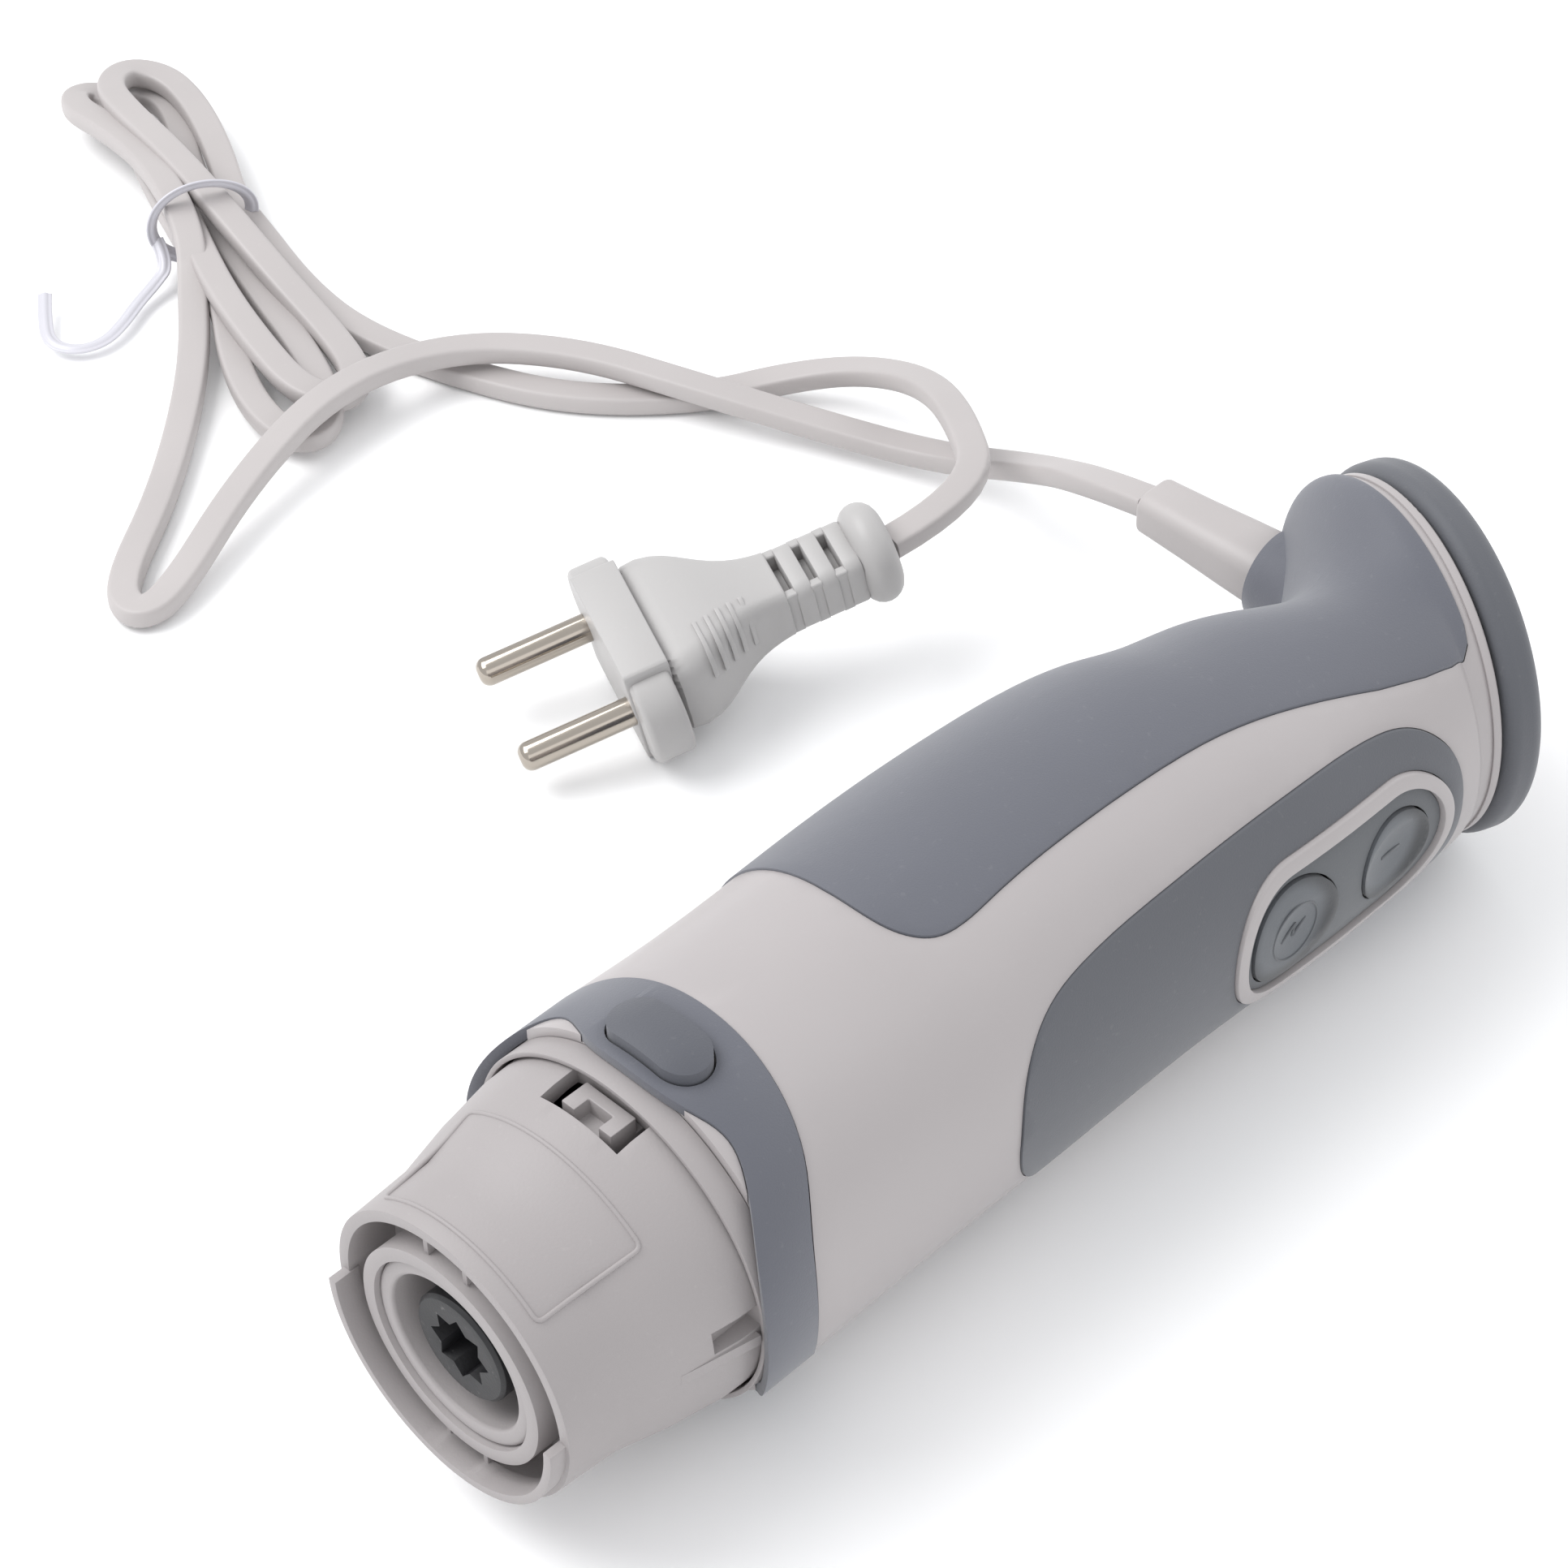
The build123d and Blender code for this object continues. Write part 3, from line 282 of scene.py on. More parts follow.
def plainColour(red, green, blue):  # a colour as it is seen on a screen, 0 to 255
    seen = [c / 255 for c in (red, green, blue)]
    return tuple(c / 12.92 if c <= 0.04045 else ((c + 0.055) / 1.055) ** 2.4 for c in seen) + (1,)


def makePlastic(name, colour, gloss, grainSize, bump, drift=0.04, dust=0.05, sheen=0.0, coat=0.0):
    material = bpy.data.materials.new(name)
    material.use_nodes = True
    tree = material.node_tree
    shader = tree.nodes["Principled BSDF"]
    skin = tree.nodes.new("ShaderNodeGroup")
    skin.node_tree = mouldedSkin
    skin.inputs["Shade"].default_value = plainColour(*colour)
    skin.inputs["Grain Size"].default_value = grainSize
    skin.inputs["Drift"].default_value = drift
    skin.inputs["Dust"].default_value = dust
    skin.inputs["Gloss"].default_value = gloss
    relief = tree.nodes.new("ShaderNodeBump")
    relief.inputs["Strength"].default_value = bump
    relief.inputs["Distance"].default_value = 0.00006
    tree.links.new(skin.outputs["Height"], relief.inputs["Height"])
    tree.links.new(relief.outputs["Normal"], shader.inputs["Normal"])
    tree.links.new(skin.outputs["Color"], shader.inputs["Base Color"])
    tree.links.new(skin.outputs["Roughness"], shader.inputs["Roughness"])
    shader.inputs["Sheen Weight"].default_value = sheen
    shader.inputs["Sheen Roughness"].default_value = 0.6
    shader.inputs["Coat Weight"].default_value = coat
    shader.inputs["Coat Roughness"].default_value = 0.25
    return material


def makeMetal(name, colour, gloss, stretch, tarnish, bump):
    material = bpy.data.materials.new(name)
    material.use_nodes = True
    tree = material.node_tree
    shader = tree.nodes["Principled BSDF"]
    brushed = tree.nodes.new("ShaderNodeGroup")
    brushed.node_tree = brushedMetal
    brushed.inputs["Shade"].default_value = plainColour(*colour)
    brushed.inputs["Stretch"].default_value = stretch
    brushed.inputs["Tarnish"].default_value = tarnish
    brushed.inputs["Gloss"].default_value = gloss
    relief = tree.nodes.new("ShaderNodeBump")
    relief.inputs["Strength"].default_value = bump
    relief.inputs["Distance"].default_value = 0.00003
    tree.links.new(brushed.outputs["Height"], relief.inputs["Height"])
    tree.links.new(relief.outputs["Normal"], shader.inputs["Normal"])
    tree.links.new(brushed.outputs["Color"], shader.inputs["Base Color"])
    tree.links.new(brushed.outputs["Roughness"], shader.inputs["Roughness"])
    shader.inputs["Metallic"].default_value = 1.0
    return material


finish = {
    "housing_white": makePlastic("housingWhite", (167, 162, 162), 0.34, 1500, 0.12, 0.03, 0.02),
    "neck_white": makePlastic("neckWhite", (157, 152, 152), 0.52, 2400, 0.5, 0.05, 0.04),
    "grip_blue_grey": makePlastic("gripBlueGrey", (86, 88, 97), 0.56, 3600, 0.6, 0.07, 0.03, sheen=0.25),
    "panel_grey": makePlastic("panelGrey", (80, 82, 88), 0.58, 3600, 0.6, 0.06, 0.03, sheen=0.2),
    "switch_grey": makePlastic("switchGrey", (79, 82, 86), 0.5, 3000, 0.4, 0.05, 0.03, sheen=0.15),
    "dial_white": makePlastic("dialWhite", (170, 165, 165), 0.36, 1500, 0.15, 0.03, 0.02),
    "coupling_black": makePlastic("couplingDark", (24, 24, 27), 0.46, 2200, 0.5, 0.12, 0.10),
    "carbon": makePlastic("carbonBlack", (46, 45, 46), 0.7, 2600, 1.0, 0.2, 0.05),
    "mount_rubber": makePlastic("mountRubber", (40, 40, 42), 0.75, 1800, 0.6, 0.15, 0.12),
    "board_green": makePlastic("boardGreen", (38, 108, 66), 0.35, 700, 0.3, 0.18, 0.05, coat=0.4),
    "cord_white": makePlastic("cordWhite", (176, 171, 170), 0.44, 1900, 0.25, 0.05, 0.04),
    "lead_white": makePlastic("leadBlue", (150, 158, 196), 0.42, 1900, 0.2, 0.06, 0.04),
    "plug_white": makePlastic("plugWhite", (174, 172, 171), 0.42, 1900, 0.35, 0.04, 0.04),
    "tie_white": makePlastic("tieWhite", (196, 195, 202), 0.3, 1200, 0.2, 0.04, 0.02, coat=0.3),
    "bright_steel": makeMetal("brightSteel", (196, 197, 200), 0.22, (60, 1500, 1500), 0.15, 0.2),
    "lamination_steel": makeMetal("laminationSteel", (140, 141, 146), 0.42, (1900, 60, 60), 0.35, 0.8),
    "bracket_alloy": makeMetal("bracketAlloy", (190, 191, 193), 0.4, (700, 700, 700), 0.2, 0.5),
    "copper": makeMetal("copperWire", (196, 122, 78), 0.3, (2200, 160, 160), 0.25, 0.9),
    "pin_nickel": makeMetal("pinNickel", (172, 164, 154), 0.12, (70, 4000, 4000), 0.06, 0.03),
}
darkButton = makePlastic("releaseGrey", (74, 76, 84), 0.5, 3600, 0.6, 0.07, 0.03, sheen=0.2)
finish["pin_nickel"].node_tree.nodes["Principled BSDF"].inputs["Coat Weight"].default_value = 0.2
slotOf = {entry["node"]: entry["material_slot"] for entry in frame["record"]["subparts"]}
for name, node in cadNodes.items():
    if not node.material_slots:
        node.data.materials.append(finish[slotOf[name]])
    for slot in node.material_slots:
        slot.material = finish[slotOf[name]]
print("finishes made:", len(finish))


def readLine(curve):  # points along a curve's own line
    bpy.context.view_layer.update()
    shape = curve.evaluated_get(bpy.context.evaluated_depsgraph_get())
    plain = bpy.data.meshes.new_from_object(shape)
    points = [curve.matrix_world @ v.co for v in plain.vertices]
    bpy.data.meshes.remove(plain)
    return points


def softLine(name, points, closed=False, smooth=12):
    shape = bpy.data.curves.new(name, "CURVE")
    shape.dimensions = "3D"
    shape.resolution_u = smooth
    shape.twist_mode = "Z_UP"
    line = shape.splines.new("NURBS")
    line.points.add(len(points) - 1)
    for knot, point in zip(line.points, points):
        knot.co = (*point, 1)
    line.order_u = 3
    line.use_cyclic_u = closed
    line.use_endpoint_u = not closed
    curve = bpy.data.objects.new(name, shape)
    bpy.context.scene.collection.objects.link(curve)
    return curve


def flatProfile(name, corners):  # the outline that is drawn along a line
    shape = bpy.data.curves.new(name, "CURVE")
    shape.dimensions = "2D"
    shape.resolution_u = 4
    line = shape.splines.new("NURBS")
    line.points.add(len(corners) - 1)
    for knot, (across, up) in zip(line.points, corners):
        knot.co = (across * mm, up * mm, 0, 1)
    line.order_u = 3
    line.use_cyclic_u = True
    curve = bpy.data.objects.new(name, shape)
    bpy.context.scene.collection.objects.link(curve)
    return curve


def drawnAlong(curve, profile, material):  # a line becomes a tube of that outline, closed at its ends
    curve.data.bevel_mode = "OBJECT"
    curve.data.bevel_object = profile
    curve.data.use_fill_caps = True
    only(curve)
    bpy.ops.object.convert(target="MESH")
    tube = bpy.context.object
    bpy.data.objects.remove(profile)
    tube.data.materials.clear()
    tube.data.materials.append(material)
    bpy.ops.object.mode_set(mode="EDIT")
    bpy.ops.mesh.select_all(action="SELECT")
    bpy.ops.mesh.remove_doubles(threshold=0.000002)
    bpy.ops.mesh.normals_make_consistent(inside=False)
    bpy.ops.object.mode_set(mode="OBJECT")
    bpy.ops.object.shade_smooth_by_angle(angle=math.radians(50))
    return tube


# mains lead: flat, two cores side by side, from the boot through the tied hank to the plug
lead = {"width": 5.3, "thick": 3.5, "hankFoot": (132.3, 183.7), "hankWay": (0.343, 0.939)}
# from the boot to the hank: distance from the bore face, offset from the axis, height
handleRun = [
    (188.5, 47.5, 29.97),
    (189.5, 60.0, 27.0),
    (197.5, 79.0, 14.5),
    (198.0, 101.0, 4.2),
    (190.0, 122.5, 4.6),
    (181.5, 143.5, 6.4),
    (174.5, 166.0, 6.4),
    (160.5, 182.5, 6.8),
    (136.0, 185.0, 10.6),
    (111.0, 179.5, 7.0),
    (87.0, 169.0, 3.0),
    (80.0, 169.6, 2.6),
    (82.0, 177.5, 2.3),
    (104.5, 192.5, 2.3),
    (128.0, 213.5, 3.2),
    (143.0, 232.0, 6.0),
]
# turns of the hank: distance from its foot, offset to its left, height
hankTurns = [
    (54, 4.6, 9.6), (66, 3.4, 11.7), (82, 3.6, 11.2), (98, 6.6, 9.4), (107, 9.0, 7.8), (113, 8.0, 6.6),
    (114.6, 4.2, 5.6), (111, 0.6, 4.8), (101, 0.4, 4.4), (84, 2.4, 4.3), (62, 2.9, 4.2), (42, 3.2, 4.2),
    (26, 7.4, 4.2),
    (12, 8.8, 4.2), (1.6, 7.0, 4.0), (-1.8, 1.8, 3.9), (4.4, -3.0, 4.0), (20, -4.4, 4.1), (40, -3.2, 4.2),
    (62, -2.9, 4.3), (84, -4.6, 4.2), (101, -8.4, 4.1), (110, -7.6, 4.0), (113, -2.8, 4.6), (109, 1.8, 6.2),
    (98, 2.2, 8.2), (82, 0.8, 8.4), (62, 2.7, 8.0), (40, 4.2, 7.8), (22, 3.0, 7.0), (9.5, 1.0, 6.2),
    (4.0, -4.4, 5.6), (8.8, -10.0, 5.2), (20, -10.2, 5.2), (40, -6.8, 7.2), (62, -2.8, 11.6), (80, -0.2, 12.4),
    (97, 2.4, 11.6), (108, 2.6, 10.4), (114, -3.0, 9.2), (110, -9.4, 8.0), (100, -11.4, 7.3), (84, -10.6, 7.0),
    (66, -7.4, 7.0),
]
plugRun = [
    (161.0, 236.0, 5.0),
    (157.0, 219.0, 2.6),
    (155.5, 202.0, 2.0),
    (160.0, 181.0, 2.0),
    (168.0, 161.0, 2.0),
    (184.0, 144.5, 2.0),
    (197.0, 135.5, 4.2),
    (202.5, 123.0, 9.2),
    (201.5, 107.5, 15.2),
    (193.0, 92.0, 20.6),
    (178.5, 73.5, 24.2),
    (160.95, 77.5, 21.42),
]


def inHank(along, aside, high):
    way = Vector((*lead["hankWay"], 0)).normalized()
    foot = Vector((*lead["hankFoot"], 0))
    u, y, z = foot + way * along + Vector((-way.y, way.x, 0)) * aside + Vector((0, 0, high))
    return u, y, z


route = handleRun + [inHank(*turn) for turn in hankTurns] + plugRun
routePoints = [spot(*point) for point in route]
leadLine = softLine("mainsLead", routePoints, smooth=8)
leadPath = readLine(leadLine)
side = lead["width"] / 2 * 1.04
inner = lead["width"] / 2 * 0.55
face = lead["thick"] / 2
edge = lead["thick"] / 2 * 0.96
flatSides = [
    (-inner, face), (inner, face), (side, edge), (side, -edge),
    (inner, -face), (-inner, -face), (-side, -edge), (-side, edge),
]
mainsLead = drawnAlong(leadLine, flatProfile("leadOutline", flatSides), finish["cord_white"])
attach(mainsLead, "handle")
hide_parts("cord_to_hank", "cord_to_plug", "cord_hank")
print("lead drawn")

# twist tie: a thin ribbon with a wire down its middle, round the waist of the hank, its end lying on the floor
tie = {"at": 62.0, "halfWidth": 9.5 * 1.02, "halfHeight": 7.3 * 1.02, "middle": 8.7, "skew": 0.5, "points": 16}
# the ribbon's outline, thicker at its wire
ribbon = [
    (1.3, 0.24), (0.7, 0.24), (0.42, 0.5), (0, 0.62), (-0.42, 0.5), (-0.7, 0.24), (-1.3, 0.24),
    (-1.3, -0.24), (-0.7, -0.24), (-0.42, -0.3), (0, -0.34), (0.42, -0.3), (0.7, -0.24), (1.3, -0.24),
]
tieLoop = []
for step in range(tie["points"]):
    turn = math.tau * step / tie["points"]
    along = tie["at"] + tie["skew"] * math.sin(2 * turn)
    aside = tie["halfWidth"] * math.cos(turn)
    high = tie["middle"] + tie["halfHeight"] * math.sin(turn)
    tieLoop.append(spot(*inHank(along, aside, high)))
loopLine = softLine("tieLoop", tieLoop, closed=True)
loopLine.data.twist_mode = "MINIMUM"
ribbonOnEdge = [(y, x) for x, y in reversed(ribbon)]
tieRound = drawnAlong(loopLine, flatProfile("ribbonOutline", ribbonOnEdge), finish["tie_white"])
tieTail = [
    spot(*inHank(tie["at"], 8.9, 7.0)),
    spot(144, 240.5, 4.2),
    spot(139.5, 239.5, 2.6),
    spot(134.5, 238, 2.0),
    spot(129, 235, 2.2),
    spot(123.5, 233.4, 1.8),
    spot(118.5, 235, 1.8),
    spot(116.2, 240, 2.0),
    spot(119.5, 245.5, 2.6),
    spot(123.6, 250.5, 3.6),
]
tailLine = softLine("tieTail", tieTail)
tieEnd = drawnAlong(tailLine, flatProfile("ribbonOutline", ribbon), finish["tie_white"])
tieRound = joined("twistTie", [tieRound, tieEnd])
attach(tieRound, "handle")
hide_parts("twist_tie")
print("tie wound")


def settle(piece, matrix):  # moves a piece, puts its place into its mesh and closes its seams
    piece.matrix_world = matrix
    placeIntoMesh(piece)
    bpy.ops.object.mode_set(mode="EDIT")
    bpy.ops.mesh.select_all(action="SELECT")
    bpy.ops.mesh.remove_doubles(threshold=0.000002)
    bpy.ops.mesh.normals_make_consistent(inside=False)
    bpy.ops.object.mode_set(mode="OBJECT")


def softenEdges(piece, width, steps):  # rounds every sharp edge by a width, in that many steps
    only(piece)
    edges = piece.modifiers.new("edges", "BEVEL")
    edges.width = width * mm
    edges.segments = steps
    edges.limit_method = "ANGLE"
    edges.angle_limit = math.radians(30)
    bpy.ops.object.modifier_apply(modifier=edges.name)
    bpy.ops.object.shade_smooth_by_angle(angle=math.radians(40))


def blockBetween(name, sections, corner, cornerSteps):
    # a block with rounded corners, drawn out through sections: distance, half width, half height
    nothingSelected()
    bpy.ops.mesh.primitive_cube_add(size=2 * mm, location=(0, 0, 0))
    block = bpy.context.object
    block.name = name
    start, following = sections[0], sections[1]
    bpy.ops.object.mode_set(mode="EDIT")
    bpy.ops.mesh.select_all(action="SELECT")
    depth = (following[0] - start[0]) / 2
    bpy.ops.transform.resize(value=(start[1], start[2], depth))
    bpy.ops.transform.translate(value=(0, 0, (start[0] + depth) * mm))
    bpy.ops.object.mode_set(mode="OBJECT")
    editEdges(block, lambda a, b: abs(a.z - b.z) > 1e-6)
    bpy.ops.mesh.bevel(offset=corner * mm, segments=cornerSteps, affect="EDGES")
    bpy.ops.object.mode_set(mode="OBJECT")
    for before, section, after in zip(sections, sections[1:], sections[2:] + [None]):
        end = section[0] * mm
        heights = [v.co.z for v in block.data.vertices]
        editFaces(block, lambda face: all(abs(heights[i] - end) < 1e-6 for i in face.vertices))
        growth = (section[1] / before[1], section[2] / before[2], 1)
        bpy.ops.transform.resize(value=growth, center_override=(0, 0, end))
        if after:
            rise = (after[0] - section[0]) * mm
            bpy.ops.mesh.extrude_region_move(TRANSFORM_OT_translate={"value": (0, 0, rise)})
        bpy.ops.object.mode_set(mode="OBJECT")
    return block


def copyOf(piece, matrix):  # a copy with a mesh of its own, moved into its place
    twin = bpy.data.objects.new(piece.name + "Copy", piece.data.copy())
    bpy.context.scene.collection.objects.link(twin)
    settle(twin, matrix)
    return twin


# strain relief: tapered boot with a cut end
boot = {"u": 188.5, "from": 15.5, "to": 47.0}
sections = [
    (boot["from"], 3.7, 3.7), (22.6, 4.2, 4.0), (23.2, 5.5, 5.1), (30.0, 5.2, 4.7), (38.0, 4.7, 4.2),
    (46.4, 4.3, 3.8), (boot["to"], 4.1, 3.6),
]
cordBoot = blockBetween("cordBoot", sections, 2.2, 6)
bootPlace = Matrix.Translation(spot(boot["u"], 0, place["axisZ"])) @ Matrix.Rotation(math.radians(-90), 4, "X")
cordBoot.data.materials.append(finish["cord_white"])
settle(cordBoot, bootPlace)
softenEdges(cordBoot, 0.25, 2)
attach(cordBoot, "handle")
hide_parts("strain_relief")
print("boot made")

# plug: a flange with a raised flat, a narrowing body with grip ribs, a slotted neck and a round end
plug = {
    "x": 17.32, "y": 98.12, "z": 11.3, "turn": -24.0, "rise": 12.0, "roll": 7.0,
    "pinR": 2.4, "pinL": 19.0, "pitch": 19.0, "pinTip": 1.7,
    "segments": 3, "segmentStep": 4.3, "linkAside": 4.5,
    "discAt": 45.2, "discR": 5.2, "discRim": 3.15, "plateR": 5.6, "plateL": 6.1,
    "ribThick": 0.8, "ribRound": 4.6,
}
turn = math.radians(plug["turn"])
rise = math.radians(plug["rise"])
lean = math.radians(plug["roll"])
plugWay = Vector((math.cos(rise) * math.cos(turn), math.cos(rise) * math.sin(turn), math.sin(rise)))
plugLevel = Vector((math.sin(turn), -math.cos(turn), 0))
plugAcross = plugLevel * math.cos(lean) - plugLevel.cross(plugWay) * math.sin(lean)
plugUp = plugWay.cross(plugAcross)
plugPlace = Matrix((plugAcross, plugUp, plugWay)).transposed().to_4x4()
plugPlace.translation = Vector((plug["x"], plug["y"], plug["z"])) * mm

flange = blockBetween("plugFlange", [(0.4, 18.8, 8.8), (7.1, 18.8, 8.8)], 8.3, 9)
softenEdges(flange, 1.0, 4)
raised = blockBetween("plugRaised", [(0.0, 11.9, 10.35), (7.5, 11.9, 10.35)], 1.0, 3)
softenEdges(raised, 0.5, 3)
body = blockBetween(
    "plugBody",
    [
        (5.0, 14.2, 8.6), (11.0, 14.0, 8.8), (15.0, 12.3, 8.7), (18.2, 9.5, 8.0), (21.5, 7.4, 7.0),
        (25.0, 6.3, 6.0), (28.6, 6.0, 5.4), (29.2, 6.0, 5.4), (29.4, 5.95, 5.35),
    ],
    5.0,
    6,
)
softer = body.modifiers.new("softer", "SUBSURF")
softer.levels = 1
softer.render_levels = 1
only(body)
bpy.ops.object.modifier_apply(modifier=softer.name)
bpy.ops.object.shade_smooth_by_angle(angle=math.radians(50))
segment = blockBetween("plugSegment", [(30.8, 5.8, 5.1), (33.7, 5.8, 5.1)], 2.4, 5)
softenEdges(segment, 0.4, 2)
segments = [segment]
for step in range(1, plug["segments"]):
    segments.append(copyOf(segment, Matrix.Translation((0, 0, plug["segmentStep"] * step * mm))))
core = blockBetween("plugCore", [(27.0, 3.9, 1.5), (44.0, 3.9, 1.5)], 1.2, 4)
link = blockBetween("plugLink", [(29.2, 0.85, 4.5), (31.0, 0.85, 4.5)], 0.4, 3)
settle(link, Matrix.Translation((plug["linkAside"] * mm, 0, 0)))
places = [(shift, step) for step in range(plug["segments"]) for shift in (0, -2 * plug["linkAside"])]
links = [link]
for shift, step in places[1:]:
    links.append(copyOf(link, Matrix.Translation((shift * mm, 0, plug["segmentStep"] * step * mm))))
discMiddle = (0, 0, plug["discAt"] * mm)
nothingSelected()
bpy.ops.mesh.primitive_torus_add(
    major_segments=56, minor_segments=20, major_radius=plug["discR"] * mm, minor_radius=plug["discRim"] * mm,
    location=discMiddle,
)
disc = bpy.context.object
disc.name = "plugDisc"
nothingSelected()
bpy.ops.mesh.primitive_cylinder_add(
    vertices=48, radius=plug["plateR"] * mm, depth=plug["plateL"] * mm, location=discMiddle
)
plate = bpy.context.object
softenEdges(plate, 0.4, 2)
only(disc)
bpy.ops.object.shade_smooth()
ribs = []
# each rib is a thin slice of the body's shoulder, cut to a short run: distance, half width, half height
slices = [(13.6, 13.2, 9.0), (15.7, 12.1, 8.85), (17.8, 10.35, 8.45), (19.9, 8.95, 7.85), (22.0, 7.65, 7.2)]
for at, wide, high in slices:
    ends = [(at, wide, high), (at + plug["ribThick"], wide - 0.4, high - 0.12)]
    rib = blockBetween("gripRib", ends, plug["ribRound"], 8)
    cuts = [((0.42 * wide * mm, 0, 0), (1, 0, 0)), ((0, (0.42 * at - 8.9) * mm, 0), (0, -1, 0))]
    for middle, way in cuts:
        only(rib)
        bpy.ops.object.mode_set(mode="EDIT")
        bpy.ops.mesh.select_all(action="SELECT")
        bpy.ops.mesh.bisect(plane_co=middle, plane_no=way, clear_inner=True, use_fill=True)
        bpy.ops.object.mode_set(mode="OBJECT")
    softenEdges(rib, 0.16, 2)
    ribs.append(rib)
    ribs.append(copyOf(rib, Matrix.Rotation(math.pi, 4, "Z")))
plugShell = joined("plugShell", [flange, raised, body, core, disc, plate] + segments + links + ribs)
plugShell.data.materials.clear()
plugShell.data.materials.append(finish["plug_white"])
plugShell.matrix_world = plugPlace
placeIntoMesh(plugShell)
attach(plugShell, "handle")
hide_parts("plug_body")

for word, side in (("left", 1), ("right", -1)):
    nothingSelected()
    bpy.ops.mesh.primitive_cylinder_add(
        vertices=48, radius=plug["pinR"] * mm, depth=plug["pinL"] * mm,
        location=(side * plug["pitch"] / 2 * mm, 0, -(plug["pinL"] / 2 - 0.1) * mm),
    )
    pin = bpy.context.object
    pin.name = "pin_" + word
    placeIntoMesh(pin)
    nearTip = -(plug["pinL"] - 0.5) * mm
    editEdges(pin, lambda a, b: a.z < nearTip and b.z < nearTip)
    bpy.ops.mesh.bevel(offset=plug["pinTip"] * mm, segments=8, affect="EDGES")
    bpy.ops.object.mode_set(mode="OBJECT")
    bpy.ops.object.shade_smooth_by_angle(angle=math.radians(40))
    pin.data.materials.append(finish["pin_nickel"])
    pin.matrix_world = plugPlace
    placeIntoMesh(pin)
    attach(pin, "handle")
    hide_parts("plug_pin_" + word)
print("plug made")

# moulded shells: copies of the parts' shapes, each with its sharp edges rounded by this much
softShells = {
    "neck": 0.25, "housing_shell": 0.2, "collar_band": 0.25, "back_grip": 0.2, "front_panel": 0.2,
    "switch_bezel": 0.3, "bore_sleeve": 0.25, "release_button_upper": 0.4, "release_button_lower": 0.4,
    "latch_hook_upper": 0.2, "latch_hook_lower": 0.2, "drive_coupling": 0.2, "collar_liner": 0.15,
    "cap_flange": 0.2, "dial_cover": 0.3, "button_large": 0.25, "button_small": 0.25,
}
# the two dished buttons: distance from the bore face and radius
buttons = {"large": {"u": 131.0, "r": 8.5}, "small": {"u": 152.5, "r": 7.2}}


def makeButtonWithPaintedRimShade(name, button):  # button rubber with painted shade: its colour darkens towards the rim of its dish, standing in for the shade of the dish wall
    material = makePlastic(name, (84, 88, 93), 0.46, 3000, 0.4, 0.05, 0.03, sheen=0.15)
    tree = material.node_tree
    shader = tree.nodes["Principled BSDF"]
    skin = tree.nodes["Group"]
    where = tree.nodes.new("ShaderNodeTexCoord")
    flat = tree.nodes.new("ShaderNodeVectorMath")
    flat.operation = "MULTIPLY"
    flat.inputs[1].default_value = (1, 0, 1)
    tree.links.new(where.outputs["Object"], flat.inputs[0])
    away = tree.nodes.new("ShaderNodeVectorMath")
    away.operation = "DISTANCE"
    tree.links.new(flat.outputs[0], away.inputs[0])
    middle = ((place["noseX"] + button["u"] - 1.3) * mm, 0, (place["axisZ"] + 1.2) * mm)
    away.inputs[1].default_value = middle
    # painted shade mask: rises from 0.68 to 1.02 of the button's radius, so the dish darkens towards its rim
    paintedRimShade = tree.nodes.new("ShaderNodeMapRange")
    paintedRimShade.interpolation_type = "SMOOTHSTEP"
    paintedRimShade.inputs["From Min"].default_value = 0.68 * button["r"] * mm
    paintedRimShade.inputs["From Max"].default_value = 1.02 * button["r"] * mm
    paintedRimShade.inputs["To Max"].default_value = 0.95
    tree.links.new(away.outputs["Value"], paintedRimShade.inputs["Value"])
    darker = tree.nodes.new("ShaderNodeMix")
    darker.data_type = "RGBA"
    tree.links.new(paintedRimShade.outputs["Result"], darker.inputs["Factor"])
    tree.links.new(skin.outputs["Color"], darker.inputs["A"])
    # the painted shade colour mixed in towards the rim of the dish
    darker.inputs["B"].default_value = plainColour(36, 38, 42)
    tree.links.new(darker.outputs["Result"], shader.inputs["Base Color"])
    return material


ownFinish = {
    "button_large": makeButtonWithPaintedRimShade("largeButtonPaintedRimShade", buttons["large"]),
    "button_small": makeButtonWithPaintedRimShade("smallButtonPaintedRimShade", buttons["small"]),
    "release_button_upper": darkButton,
    "release_button_lower": darkButton,
}
bodyOf = {node: body for body, members in frame["record"]["behaviour"]["bodies"].items() for node in members}
for name, width in softShells.items():
    shell = bpy.data.objects.new(name + "Soft", cadNodes[name].data.copy())
    bpy.context.scene.collection.objects.link(shell)
    only(shell)
    bpy.ops.object.mode_set(mode="EDIT")
    bpy.ops.mesh.select_all(action="SELECT")
    bpy.ops.mesh.remove_doubles(threshold=0.000003)
    bpy.ops.mesh.customdata_custom_splitnormals_clear()
    bpy.ops.object.mode_set(mode="OBJECT")
    edges = shell.modifiers.new("edges", "BEVEL")
    edges.width = width * mm
    edges.segments = 2
    edges.limit_method = "ANGLE"
    edges.angle_limit = math.radians(32)
    edges.use_clamp_overlap = True
    bpy.ops.object.modifier_apply(modifier=edges.name)
    bpy.ops.object.shade_smooth_by_angle(angle=math.radians(32))
    if name in ownFinish:
        shell.material_slots[0].material = ownFinish[name]
    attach(shell, bodyOf[name])
    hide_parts(name)
print("edges rounded")

# frame line of the rating field on top of the neck, left bare
field = {"from": 2.6, "to": 18.6, "start": 48.0, "end": 129.0, "corner": 2.2, "steps": 9, "wire": 0.34}
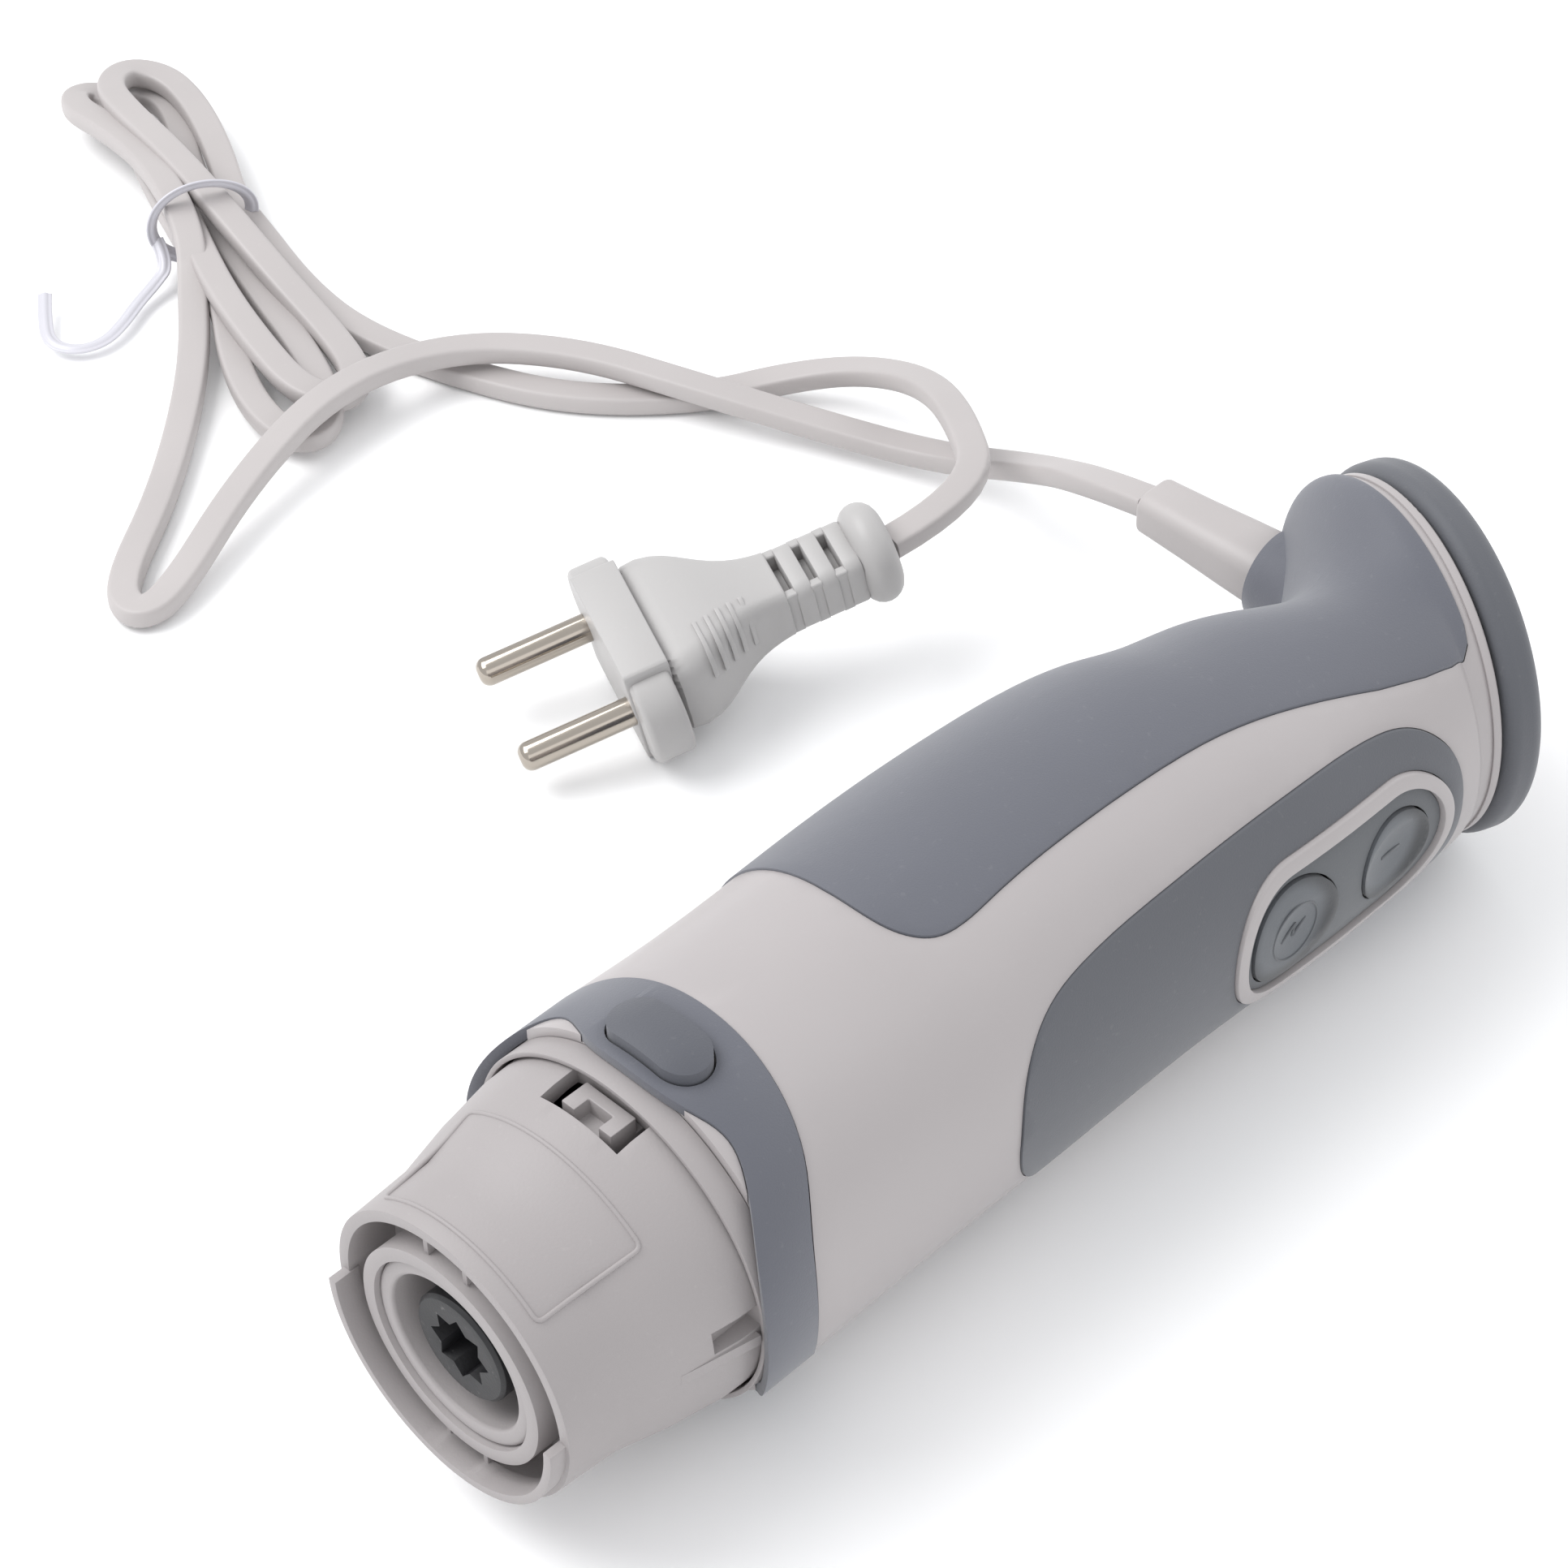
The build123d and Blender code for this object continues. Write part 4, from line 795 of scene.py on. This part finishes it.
# the neck's outside: distance from the bore face, radius
neckProfile = [(0, 21.6), (10, 22.2), (18, 24.1), (26, 25.4)]


def onNeck(u, degrees):
    for (uA, rA), (uB, rB) in zip(neckProfile, neckProfile[1:]):
        if u <= uB:
            break
    r = rA + (rB - rA) * (u - uA) / (uB - uA)
    turn = math.radians(degrees)
    return spot(u, -r * math.cos(turn), place["axisZ"] + r * math.sin(turn))


spread = math.degrees(field["corner"] / 23.0)
fieldLine = []
fieldSides = [
    (field["from"], field["to"], field["start"], field["end"]),
    (field["to"], field["from"], field["end"], field["start"]),
]
for u, across, first, last in fieldSides:  # one long side, then the short side to the other long one
    sideways = 1 if last > first else -1
    inward = spread * sideways
    for step in range(field["steps"]):
        angle = first + inward + (last - first - 2 * inward) * step / (field["steps"] - 1)
        fieldLine.append(onNeck(u, angle))
    corner = sideways * field["corner"]
    for at in (u, u + corner, u + sideways * 10.0, across - corner, across):
        fieldLine.append(onNeck(at, last))
fieldCurve = softLine("ratingFrame", fieldLine, closed=True, smooth=6)
fieldCurve.data.twist_mode = "MINIMUM"
fieldCurve.data.bevel_depth = field["wire"] * mm
fieldCurve.data.bevel_resolution = 3
only(fieldCurve)
bpy.ops.object.convert(target="MESH")
ratingFrame = bpy.context.object
ratingFrame.data.materials.append(finish["neck_white"])
bpy.ops.object.shade_smooth()
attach(ratingFrame, "handle")
print("neck field framed")

# raised marks in the dishes of the two buttons
marks = {"rimAt": -28.4, "ball": 2.6, "ring": 4.7, "ringWire": 0.2, "barHigh": 0.3}


def dishDepth(button, off):  # how far out the dished face lies at that distance from its middle
    reach = marks["ball"] * button["r"]
    ball = reach + 0.1
    return marks["rimAt"] - reach + math.sqrt(ball * ball - off * off)


def markBar(button, start, end, width):
    # a low bar between two points of the dish, each given along the handle and upwards
    run = Vector((end[0] - start[0], 0, end[1] - start[1]))
    high = marks["barHigh"]
    bar = blockBetween("markBar", [(0.0, width / 2, high), (run.length, width / 2, high)], 0.12, 2)
    softenEdges(bar, 0.1, 2)
    reach = max(math.hypot(*start), math.hypot(*end)) * 0.7
    foot = spot(button["u"] + start[0], dishDepth(button, reach) + 0.12, place["axisZ"] + start[1])
    forward = run.normalized()
    outward = Vector((0, -1, 0))
    turned = Matrix((outward.cross(forward), outward, forward)).transposed().to_4x4()
    bar.matrix_world = Matrix.Translation(foot) @ turned
    placeIntoMesh(bar)
    return bar


def markRing(button, radius):
    nothingSelected()
    where = spot(button["u"], dishDepth(button, radius) + 0.04, place["axisZ"])
    bpy.ops.mesh.primitive_torus_add(
        major_segments=64, minor_segments=10, major_radius=radius * mm, minor_radius=marks["ringWire"] * mm,
        location=where, rotation=(math.radians(90), 0, 0),
    )
    ring = bpy.context.object
    placeIntoMesh(ring)
    bpy.ops.object.shade_smooth()
    return ring


boltCorners = [(2.6, 0.9), (-0.1, -1.1), (0.4, 1.1), (-2.6, -0.9)]
boltMark = [markRing(buttons["large"], marks["ring"])]
for start, end in zip(boltCorners, boltCorners[1:]):
    boltMark.append(markBar(buttons["large"], start, end, 0.5))
onMark = [markBar(buttons["small"], (-2.0, 0.0), (2.0, 0.0), 0.6)]
for name, pieces, body in (("boltMark", boltMark, "large_button"), ("onMark", onMark, "small_button")):
    mark = joined(name, pieces)
    mark.data.materials.clear()
    mark.data.materials.append(finish["switch_grey"])
    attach(mark, body)
print("button marks raised")

# pale paper floor, a hair below the part
ground = {"size": 6, "z": -0.0002, "dark": 0.955, "pale": 0.965}
nothingSelected()
bpy.ops.mesh.primitive_plane_add(size=ground["size"], location=(0, 0, ground["z"]))
floor = bpy.context.object
floor.name = "studioFloor"
paper = bpy.data.materials.new("floorPaper")
paper.use_nodes = True
paperShader = paper.node_tree.nodes["Principled BSDF"]
fibre = paper.node_tree.nodes.new("ShaderNodeTexNoise")
fibre.inputs["Scale"].default_value = 60
tone = paper.node_tree.nodes.new("ShaderNodeMapRange")
tone.inputs["To Min"].default_value = ground["dark"]
tone.inputs["To Max"].default_value = ground["pale"]
paper.node_tree.links.new(fibre.outputs["Fac"], tone.inputs["Value"])
paper.node_tree.links.new(tone.outputs["Result"], paperShader.inputs["Base Color"])
paperShader.inputs["Roughness"].default_value = 0.9
paperShader.inputs["Specular IOR Level"].default_value = 0.1
floor.data.materials.append(paper)
